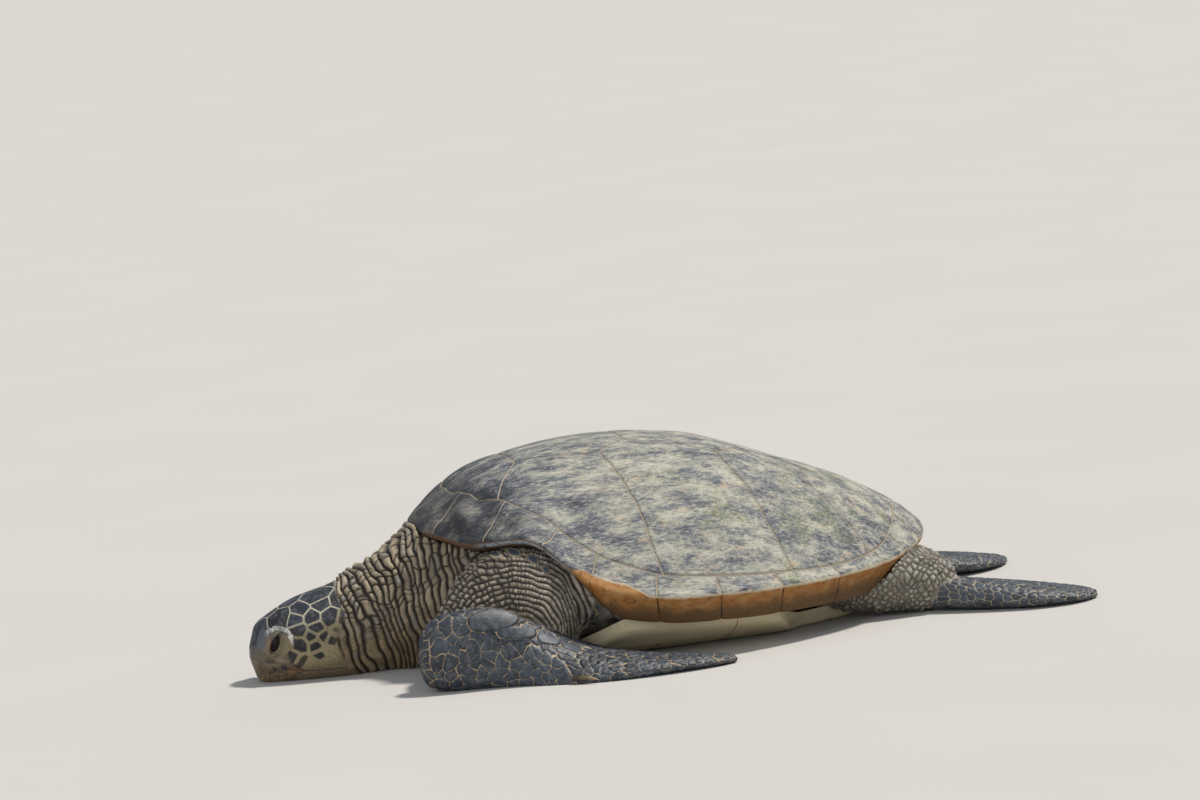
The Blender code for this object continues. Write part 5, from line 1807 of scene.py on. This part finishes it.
def make_beak(node, upper, material):
    beak = new_piece("horn_" + node, *loft(head_rings(), 0.003, tip=True))
    cut(beak, beak_outline(upper, BEAK_ROOT), "INTERSECT")
    remeshed(beak, BEAK_VOXEL)
    mesh = beak.data
    points = Neighbours(mesh).relaxed(read_vectors(mesh), 3)
    write_points(mesh, points)
    local, normals = into_head(points), read_vectors(mesh, "normal")
    a, w, b = local.T
    gap = np.abs(b - smooth(MOUTH_LINE)(a))
    outer = step(-1.5 * MM, -0.2 * MM, head_off(local))
    streaks = ripple(np.column_stack([a, w, 0.16 * b]), 0.0042, 83, 9)
    rise = 0.5 * MM + 0.16 * MM * streaks
    rise = rise + (0.7 if upper else -0.6) * MM * (1 - step(0.0, 4.5 * MM, gap))
    points = points + normals * (rise * outer)[:, None]
    points[:, 2] = np.maximum(points[:, 2], 0.0)
    write_points(mesh, points)
    set_colours(mesh, "tint", beak_colour(local, upper))
    mesh.shade_smooth()
    finish_piece(beak, material, "horn", node)


# ---------------------------------------------------------------- claws
# The base and tip of the left claws as (x, out, z), the radius, and how far the middle bows up.
CLAWS = {
    "hand": ((-0.2720, 0.4020, 0.0095), (-0.2430, 0.4230, 0.0060), 0.0055, 0.0020),
    "foot": ((0.5120, 0.2620, 0.0140), (0.5400, 0.2830, 0.0065), 0.0052, 0.0024),
}
CLAW_RINGS, CLAW_AROUND = 36, 28


def make_claws(material):
    for part, (base, tip, radius, bow) in CLAWS.items():
        for side, word in ((-1, "left"), (1, "right")):
            start = np.array(base) * (1, side, 1)
            stop = np.array(tip) * (1, side, 1)
            ahead = (stop - start) / np.linalg.norm(stop - start)
            across = np.cross(ahead, (0, 0, 1.0))
            across /= np.linalg.norm(across)
            above = np.cross(across, ahead)
            t = np.linspace(-0.25, 1.0, CLAW_RINGS)
            size = radius * np.clip(1 - np.clip(t, 0, 1) ** 1.6, 0.03, 1) ** 0.85
            size = size * (1 + 0.03 * np.sin(t * 46) * (t < 0.7))
            angle = 2 * math.pi * np.arange(CLAW_AROUND) / CLAW_AROUND
            middle = start + ahead * (t * np.linalg.norm(stop - start))[:, None]
            middle = middle + above * (bow * np.sin(math.pi * np.clip(t, 0, 1)))[:, None]
            ring = (np.cos(angle)[:, None] * across + 0.8 * np.sin(angle)[:, None] * above)
            points = middle[:, None] + size[:, None, None] * ring[None]
            points[..., 2] = np.maximum(points[..., 2], 0.0)
            faces, first, last = tube(CLAW_RINGS, CLAW_AROUND)
            faces += [first, last[::-1]]
            claw = new_piece(f"horn_claw_{part}_{word}", points.reshape(-1, 3), faces)
            pale = np.repeat(np.clip(t, 0, 1), CLAW_AROUND)[:, None]
            root_tint, tip_tint = np.array(BEAK_TONES["brown"]), np.array(BEAK_TONES["pale"])
            set_colours(claw.data, "tint", root_tint + (tip_tint - root_tint) * pale)
            finish_piece(claw, material, "horn", f"claw_{part}_{word}")


# ---------------------------------------------------------------- eyes
GAZE = (-0.30, 1.0, -0.05)  # which way the left eye looks, in the head's own frame
CORNEA_REACH = 34  # degrees from the gaze to the cornea's edge
CORNEA_RISE = 0.9 * MM


def make_eyes(material):
    for side, word in ((-1, "left"), (1, "right")):
        points, faces = sphere(96, 72, Matrix.Identity(4))
        polar = np.degrees(np.arccos(np.clip(points[:, 2], -1, 1)))
        radius = EYE_RADIUS - 0.6 * MM + CORNEA_RISE * (1 - step(0, CORNEA_REACH, polar))
        look = Vector((GAZE[0], side * GAZE[1], GAZE[2])).normalized()
        turn = np.array(look.to_track_quat("Z", "Y").to_matrix())
        a, b, w = EYE_AT
        local = (points * radius[:, None]) @ turn.T + np.array([a, side * w, b])
        eye = new_piece(f"eyeball_{word}", out_of_head(local), faces, {"polar": polar})
        eye.data.set_sharp_from_angle(angle=math.pi)
        finish_piece(eye, material, "eye", f"eye_{word}")


# ---------------------------------------------------------------- materials
class Nodes:
    """A material's nodes. Inputs are numbers, colours, vectors or other nodes' outputs."""

    def __init__(self, name, **constants):
        self.material = bpy.data.materials.new(name)
        self.material.use_nodes = True
        self.tree = self.material.node_tree
        self.shader = self.tree.nodes["Principled BSDF"]
        for key, value in constants.items():
            self.shader.inputs[key.replace("_", " ")].default_value = value
        self.place = self.node("ShaderNodeTexCoord").outputs["Object"]

    def node(self, kind, **settings):
        made = self.tree.nodes.new(kind)
        for key, value in settings.items():
            setattr(made, key, value)
        return made

    def feed(self, socket, value):
        if isinstance(value, bpy.types.NodeSocket):
            self.tree.links.new(value, socket)
        elif isinstance(value, tuple) and len(value) == 3 and socket.type == "RGBA":
            socket.default_value = (*value, 1.0)
        else:
            socket.default_value = value

    def attribute(self, name, colour=False):
        made = self.node("ShaderNodeAttribute", attribute_name=name)
        return made.outputs["Color" if colour else "Fac"]

    def math(self, operation, a, b=0.0):
        made = self.node("ShaderNodeMath", operation=operation)
        self.feed(made.inputs[0], a)
        self.feed(made.inputs[1], b)
        return made.outputs[0]

    def by(self, a, b):
        return self.math("MULTIPLY", a, b)

    def plus(self, a, b):
        return self.math("ADD", a, b)

    def less(self, a, b):
        return self.math("SUBTRACT", a, b)

    def stretched(self, scale, shift=(0.0, 0.0, 0.0)):
        """The place of a point, scaled and shifted to draw a noise out or to set it apart."""
        made = self.node("ShaderNodeMapping")
        self.feed(made.inputs["Vector"], self.place)
        made.inputs["Scale"].default_value = scale
        made.inputs["Location"].default_value = shift
        return made.outputs[0]

    def noise(self, size, detail=4.0, rough=0.55, place=None):
        """A cloud pattern of 0 to 1 with features of this size, in metres."""
        made = self.node("ShaderNodeTexNoise")
        self.feed(made.inputs["Vector"], place or self.place)
        made.inputs["Scale"].default_value = 1.0 / size
        made.inputs["Detail"].default_value = detail
        made.inputs["Roughness"].default_value = rough
        return made.outputs["Fac"]

    def along(self, axis):
        """One coordinate of the point, in metres."""
        made = self.node("ShaderNodeSeparateXYZ")
        self.feed(made.inputs[0], self.place)
        return made.outputs[axis]

    def rise(self, value, low, high, bottom=0.0, top=1.0):
        """A smooth step from `bottom` at low to `top` at high."""
        made = self.node("ShaderNodeMapRange", interpolation_type="SMOOTHSTEP")
        for socket, given in zip(made.inputs, (value, low, high, bottom, top)):
            self.feed(socket, given)
        return made.outputs[0]

    def mix(self, share, a, b):
        """Colour a, with this share of colour b laid over it."""
        made = self.node("ShaderNodeMix", data_type="RGBA")
        self.feed(made.inputs["Factor"], share)
        self.feed(made.inputs[6], a)
        self.feed(made.inputs[7], b)
        return made.outputs[2]

    def between(self, share, a, b):
        """The number this share of the way from a to b."""
        made = self.node("ShaderNodeMix")
        for socket, given in zip((0, 2, 3), (share, a, b)):
            self.feed(made.inputs[socket], given)
        return made.outputs[0]

    def times(self, colour, value):
        """A colour made lighter or darker by a number."""
        made = self.node("ShaderNodeVectorMath", operation="SCALE")
        self.feed(made.inputs[0], colour)
        self.feed(made.inputs["Scale"], value)
        return made.outputs[0]

    def blend_list(self, value, stops):
        """A colour ramp of (place, colour) stops."""
        made = self.node("ShaderNodeValToRGB")
        self.feed(made.inputs[0], value)
        ramp = made.color_ramp
        ramp.interpolation = "EASE"
        while len(ramp.elements) < len(stops):
            ramp.elements.new(0.5)
        for element, (place, colour) in zip(ramp.elements, stops):
            element.position = place
            element.color = (*colour, 1.0)
        return made.outputs[0]

    def bump(self, height, distance):
        made = self.node("ShaderNodeBump")
        made.inputs["Strength"].default_value = 1.0
        made.inputs["Distance"].default_value = distance
        self.feed(made.inputs["Height"], height)
        self.feed(self.shader.inputs["Normal"], made.outputs[0])

    def finish(self, colour, roughness):
        self.feed(self.shader.inputs["Base Color"], colour)
        self.feed(self.shader.inputs["Roughness"], roughness)
        return self.material


SLATE = (0.055, 0.060, 0.074)
BLUE_GREY = (0.128, 0.136, 0.155)
GREY_OLIVE = (0.222, 0.222, 0.210)
OLIVE_CREAM = (0.320, 0.315, 0.262)
CREAM = (0.470, 0.450, 0.370)
PEACH = (0.560, 0.430, 0.300)
ALGAE = (0.150, 0.190, 0.035)
SEAM_TAN = (0.480, 0.385, 0.270)
RIM_ORANGE = (0.300, 0.120, 0.030)
RIM_OCHRE = (0.350, 0.190, 0.068)
RIM_BROWN = (0.110, 0.060, 0.024)
RIM_DARK = (0.060, 0.030, 0.014)
CHALK = (0.56, 0.55, 0.50)  # pale strokes of the shell ...
INK = (0.075, 0.082, 0.105)  # ... and dark ones
FRONT_BROWN = (0.075, 0.062, 0.046)  # the shell's front, over the neck ...
FRONT_PAINTED_SHADE = (0.026, 0.030, 0.040)  # ... and the painted shade in patches over it
PIT = (0.05, 0.035, 0.025)
SLIT = (0.02, 0.014, 0.01)  # the gaps between the rim scutes, seen from the side
WORN_LIP = (0.56, 0.43, 0.27)
LIP_UNDER = (0.060, 0.045, 0.035)  # the lip's under side, over the shoulder ...
LIP_BLUE = (0.34, 0.40, 0.46)  # ... and the bluish line along it
BELLY = (0.50, 0.41, 0.24)
BELLY_PALE = (0.62, 0.55, 0.38)
BELLY_STAIN_AND_SHADE = (0.33, 0.24, 0.12)
BELLY_SEAM = (0.20, 0.14, 0.07)
SLATE_BEAD = (0.10, 0.11, 0.12)  # a few beads of the neck and shoulder
FLECK = (0.30, 0.31, 0.32)  # dry flecks on the dark scales ...
BLOOM_AND_SHEEN = (0.100, 0.108, 0.120)  # ... and a paler bluish bloom on the glossy scales, partly painted sheen
HORN_FLECK = (0.34, 0.28, 0.18)
PUPIL = (0.002, 0.002, 0.002)
IRIS = (0.007, 0.005, 0.004)
IRIS_FIBRE = (0.014, 0.009, 0.006)
EYE_ROUND = (0.010, 0.006, 0.005)  # the eyeball round the iris ...
EYE_VEIN = (0.026, 0.013, 0.009)  # ... and its redder patches
FLOOR_TONES = ((0.53, 0.51, 0.48), (0.57, 0.55, 0.52))
DRAWN_OUT = (1.0, 2.8, 2.8)  # makes the shell's pattern longer from front to back than across


def carapace_material():
    n = Nodes("carapace", Specular_IOR_Level=0.25)
    edge, tone, lip = n.attribute("edge"), n.attribute("tone"), n.attribute("lip")
    x = n.along(0)
    drawn_out = n.stretched(DRAWN_OUT)
    broad = n.noise(0.055, 3, 0.5, drawn_out)
    streak = n.noise(0.013, 7, 0.74, drawn_out)
    grain = n.noise(0.0022, 3, 0.6)
    value = n.plus(n.by(broad, 0.85), n.by(streak, 0.95))
    value = n.plus(value, n.by(grain, 0.30))
    value = n.plus(value, n.by(tone, 0.06))
    value = n.plus(value, n.rise(x, -0.42, -0.10, -0.10, 0.03))
    value = n.rise(value, 0.66, 1.46)
    colour = n.blend_list(value, [(0.18, SLATE), (0.38, BLUE_GREY), (0.52, GREY_OLIVE),
                                  (0.66, OLIVE_CREAM), (0.88, CREAM)])
    strokes = n.stretched((0.40, 1.5, 1.5), (0.11, 0.0, 0.2))
    chalk = n.rise(n.noise(0.0048, 5, 0.65, strokes), 0.54, 0.63)
    colour = n.mix(n.by(chalk, 0.50), colour, CHALK)
    dark_strokes = n.stretched((0.40, 1.5, 1.5), (0.47, 0.3, 0.0))
    ink = n.rise(n.noise(0.0060, 5, 0.65, dark_strokes), 0.53, 0.62)
    colour = n.mix(n.by(ink, 0.42), colour, INK)
    colour, pits = weathered(n, colour, x, streak)
    near = n.plus(edge, n.by(n.less(streak, 0.5), 0.0022))
    pale_seam = n.rise(near, 0.0013, 0.0006)
    # a painted shadow in the groove beside each seam
    painted_seam_shadow = n.by(n.rise(near, 0.0012, 0.0019), n.rise(near, 0.0046, 0.0019))
    colour = n.mix(n.by(painted_seam_shadow, 0.38), colour, SLATE)
    colour = n.mix(n.by(pale_seam, 0.9), colour, SEAM_TAN)
    colour = under_rim(n, colour, x, lip, edge, streak)
    height = n.plus(n.by(streak, 0.6), n.by(grain, 0.5))
    growth = n.math("SINE", n.by(edge, 1300.0))
    height = n.plus(height, n.by(n.by(growth, 0.10), n.rise(edge, 0.045, 0.010)))
    height = n.less(height, n.by(pits, 0.35))
    n.bump(height, 0.0011)
    rough = n.rise(value, 0.0, 1.0, 0.50, 0.70)
    return n.finish(colour, n.plus(rough, n.by(grain, 0.12)))


def weathered(n, colour, x, streak):
    """The shell's darker front with painted shade in patches over it, blots, green patches, scratches
    and pits, and where the pits are.
    """
    front = n.rise(x, -0.29, -0.40)
    colour = n.mix(n.by(front, 0.55), colour, FRONT_BROWN)
    # painted shade in patches over the shell's front
    shade = n.by(n.rise(n.noise(0.045, 3, 0.5), 0.44, 0.60), n.rise(x, -0.24, -0.34))
    colour = n.mix(n.by(shade, 0.70), colour, FRONT_PAINTED_SHADE)
    blots = n.noise(0.034, 5, 0.62, n.stretched((1.0, 1.5, 1.5), (0.2, 0.4, 0.0)))
    blots = n.by(n.rise(blots, 0.57, 0.70), n.rise(x, -0.30, -0.16))
    blots = n.by(blots, n.rise(streak, 0.36, 0.54))
    colour = n.mix(n.by(blots, 0.62), colour, PEACH)
    green = n.by(n.rise(n.noise(0.075, 2, 0.5), 0.54, 0.66),
                 n.rise(n.noise(0.006, 4, 0.6, n.stretched(DRAWN_OUT)), 0.50, 0.60))
    green = n.by(green, n.rise(x, -0.20, 0.05))
    colour = n.mix(n.by(green, 0.75), colour, ALGAE)
    scratch = n.noise(0.0030, 2, 0.5, n.stretched((0.10, 1.0, 0.8), (0.0, 0.2, 0.1)))
    colour = n.mix(n.by(n.rise(scratch, 0.68, 0.76), 0.5), colour, CREAM)
    pits = n.rise(n.noise(0.0035, 2, 0.5, n.stretched((1.0, 1.6, 1.6), (0.3, 0.0, 0.0))), 0.66, 0.74)
    return n.mix(n.by(pits, 0.65), colour, PIT), pits


def under_rim(n, colour, x, lip, edge, streak):
    """The rim's outer and under face: orange-brown horn with dark flecks, below a pale worn lip."""
    waver = n.by(n.less(streak, 0.5), 0.008)
    high = n.by(n.rise(x, -0.250, -0.215), n.rise(x, -0.120, -0.165))
    past = n.plus(n.plus(lip, waver), n.by(high, 0.022))
    front = n.rise(x, -0.232, -0.262)
    brown = n.mix(n.rise(n.noise(0.020, 5, 0.65, n.stretched((1.0, 1.0, 2.2))), 0.40, 0.62),
                  RIM_ORANGE, RIM_OCHRE)
    low = n.plus(lip, n.by(n.less(n.noise(0.025, 4, 0.6), 0.5), 0.03))
    brown = n.mix(n.rise(low, 0.008, 0.034), brown, RIM_BROWN)
    brown = n.mix(n.by(n.rise(n.noise(0.012, 5, 0.6), 0.58, 0.70), 0.7), brown, RIM_DARK)
    brown = n.mix(n.by(front, 0.75), brown, LIP_UNDER)
    slit = n.by(n.rise(edge, 0.0015, 0.0005), n.rise(lip, -0.004, 0.0))
    slit = n.by(slit, n.rise(n.noise(0.016, 3, 0.5), 0.40, 0.56, 0.30, 1.0))
    brown = n.mix(slit, brown, SLIT)
    colour = n.mix(n.rise(past, -0.001, 0.0015), colour, brown)
    worn = n.by(n.rise(past, -0.0045, -0.0025), n.rise(past, 0.0022, 0.0005))
    worn = n.by(worn, n.rise(x, -0.24, -0.16))
    colour = n.mix(n.by(worn, 0.55), colour, WORN_LIP)
    blue = n.by(n.rise(lip, 0.001, 0.004), n.rise(lip, 0.014, 0.008))
    blue = n.by(blue, n.by(n.rise(x, -0.235, -0.260), n.rise(x, -0.385, -0.355)))
    blue = n.by(blue, n.rise(streak, 0.38, 0.50))
    return n.mix(n.by(blue, 0.75), colour, LIP_BLUE)


def plastron_material():
    n = Nodes("plastron", Specular_IOR_Level=0.4)
    broad = n.noise(0.06, 4, 0.6)
    fine = n.noise(0.008, 5, 0.6)
    colour = n.mix(broad, BELLY, BELLY_PALE)
    # darker stains: dirt, and painted shade of the underside
    colour = n.mix(n.by(n.rise(fine, 0.55, 0.7), 0.4), colour, BELLY_STAIN_AND_SHADE)
    colour = n.mix(n.rise(n.attribute("edge"), 0.0018, 0.0006), colour, BELLY_SEAM)
    n.bump(fine, 0.0007)
    return n.finish(colour, n.rise(broad, 0.3, 0.7, 0.40, 0.55))


def skin_material():
    n = Nodes("skin", Specular_IOR_Level=0.45)
    seam, number, margin = n.attribute("seam"), n.attribute("number"), n.attribute("margin")
    soft, gloss = n.attribute("soft"), n.attribute("gloss")
    ground, top = n.attribute("ground", True), n.attribute("top", True)
    fine = n.noise(0.0035, 4, 0.6)
    broad = n.noise(0.045, 3, 0.5)
    grain = n.noise(0.0011, 3, 0.6)
    waver = n.by(n.less(fine, 0.5), n.by(margin, 1.3))
    near = n.plus(seam, waver)
    hard_edge = n.rise(near, n.by(margin, 0.75), n.by(margin, 1.25))
    # on the soft skin the dark ground reaches up the sides of each fold: a wide painted crease shade
    crease_shade_edge = n.rise(near, 0.0004, 0.0034)
    share = n.between(soft, hard_edge, crease_shade_edge)
    lightness = n.plus(n.by(number, 0.5), n.by(broad, 0.9))
    lightness = n.plus(lightness, n.by(fine, 0.5))
    tops = n.times(top, n.rise(lightness, 0.45, 1.45, 0.50, 1.60))
    slate = n.by(n.rise(number, 0.80, 0.86), n.by(soft, 0.55))
    tops = n.mix(slate, tops, SLATE_BEAD)
    patches = n.rise(n.noise(0.011, 4, 0.6), 0.46, 0.62)
    flecks = n.by(n.rise(n.noise(0.0016, 3, 0.6), 0.52, 0.66), patches)
    tops = n.mix(n.by(n.by(flecks, gloss), 0.40), tops, FLECK)
    # a pale bluish bloom laid only where the scales are glossy: partly painted sheen
    bloom_and_sheen = n.by(n.by(patches, gloss), 0.42)
    tops = n.mix(bloom_and_sheen, tops, BLOOM_AND_SHEEN)
    grounds = n.times(ground, n.rise(fine, 0.3, 0.7, 0.75, 1.2))
    colour = n.mix(share, grounds, tops)
    height = n.plus(n.by(fine, 0.7), n.by(grain, 0.35))
    n.bump(height, 0.0006)
    rough = n.plus(n.rise(gloss, 0.0, 1.0, 0.50, 0.38), n.by(fine, 0.16))
    return n.finish(colour, rough)


def horn_material():
    n = Nodes("horn", Specular_IOR_Level=0.5)
    fine = n.noise(0.0024, 4, 0.6)
    broad = n.noise(0.016, 3, 0.5)
    colour = n.times(n.attribute("tint", True), n.rise(broad, 0.3, 0.7, 0.70, 1.30))
    colour = n.mix(n.by(n.rise(fine, 0.58, 0.72), 0.35), colour, HORN_FLECK)
    n.bump(fine, 0.0004)
    return n.finish(colour, n.rise(fine, 0.3, 0.7, 0.30, 0.46))


def eye_material():
    n = Nodes("eye", Specular_IOR_Level=0.12, Coat_Weight=0.06, Coat_Roughness=0.03)
    polar = n.attribute("polar")
    fibres = n.noise(0.0012, 3, 0.6)
    iris = n.mix(fibres, IRIS, IRIS_FIBRE)
    white = n.mix(n.noise(0.005, 3), EYE_ROUND, EYE_VEIN)
    colour = n.mix(n.rise(polar, 13.0, 15.0), PUPIL, iris)
    colour = n.mix(n.rise(polar, 27.0, 31.0), colour, white)
    return n.finish(colour, n.rise(fibres, 0.0, 1.0, 0.10, 0.18))


def floor_material():
    n = Nodes("floor", Specular_IOR_Level=0.2)
    soft_noise = n.noise(0.6, 4, 0.5)
    colour = n.mix(soft_noise, *FLOOR_TONES)
    return n.finish(colour, n.rise(soft_noise, 0.0, 1.0, 0.75, 0.85))


# ---------------------------------------------------------------- floor, lights and camera
FLOOR_HALF = 110.0
LENS, SENSOR = 150.0, 36.0
CAMERA_REACH = 8.361
CAMERA_TURN, CAMERA_DOWN, CAMERA_ROLL = math.radians(13.5), math.radians(6.5), math.radians(5.443)
CAMERA_AIM = Vector((-0.0971, 0.0, 0.4018))


def make_floor():
    half = FLOOR_HALF
    corners = [(-half, -half, 0), (half, -half, 0), (half, half, 0), (-half, half, 0)]
    mesh = bpy.data.meshes.new("floor")
    mesh.from_pydata(corners, [], [(0, 1, 2, 3)])
    mesh.materials.append(floor_material())
    placed("floor", mesh)


def make_sun(name, towards, strength, spread, colour):
    light = bpy.data.lights.new(name, "SUN")
    light.energy = strength
    light.angle = math.radians(spread)
    light.color = colour
    placed(name, light).rotation_euler = Vector(towards).to_track_quat("Z", "Y").to_euler()


def make_lights():
    """A soft key from high on the right, a broad fill from the front left, and a pale room."""
    make_sun("key", (0.48, 0.02, 0.88), 3.3, 6, (1.0, 0.960, 0.90))
    make_sun("fill", (-0.45, -0.80, 0.42), 0.80, 60, (0.94, 0.97, 1.0))
    world = bpy.data.worlds.new("studio")
    world.use_nodes = True
    background = world.node_tree.nodes["Background"]
    background.inputs["Color"].default_value = (0.80, 0.86, 0.95, 1.0)
    background.inputs["Strength"].default_value = 0.38
    bpy.context.scene.world = world


def make_camera():
    ahead = Vector((math.sin(CAMERA_TURN) * math.cos(CAMERA_DOWN),
                    math.cos(CAMERA_TURN) * math.cos(CAMERA_DOWN), -math.sin(CAMERA_DOWN)))
    right = Vector((math.cos(CAMERA_TURN), -math.sin(CAMERA_TURN), 0.0))
    up = right.cross(ahead)
    roll_cos, roll_sin = math.cos(CAMERA_ROLL), math.sin(CAMERA_ROLL)
    turned = Matrix((right * roll_cos - up * roll_sin, up * roll_cos + right * roll_sin, -ahead))
    data = bpy.data.cameras.new("camera")
    data.lens = LENS
    data.sensor_width = SENSOR
    data.sensor_fit = "HORIZONTAL"
    data.clip_end = 400.0
    data.dof.use_dof = False
    camera = placed("camera", data)
    stand = Matrix.Translation(CAMERA_AIM - ahead * CAMERA_REACH)
    camera.matrix_world = stand @ turned.transposed().to_4x4()
    bpy.context.scene.camera = camera


# ---------------------------------------------------------------- the whole turtle
shell_looks = carapace_material()
make_scutes(shell_looks)
make_rim_scutes(shell_looks)
make_plastron(plastron_material())
make_skin(skin_material())
horn_looks = horn_material()
make_beak("beak_upper", True, horn_looks)
make_beak("beak_lower", False, horn_looks)
make_claws(horn_looks)
make_eyes(eye_material())
make_floor()
make_lights()
make_camera()
bpy.context.scene.view_settings.view_transform = "Standard"
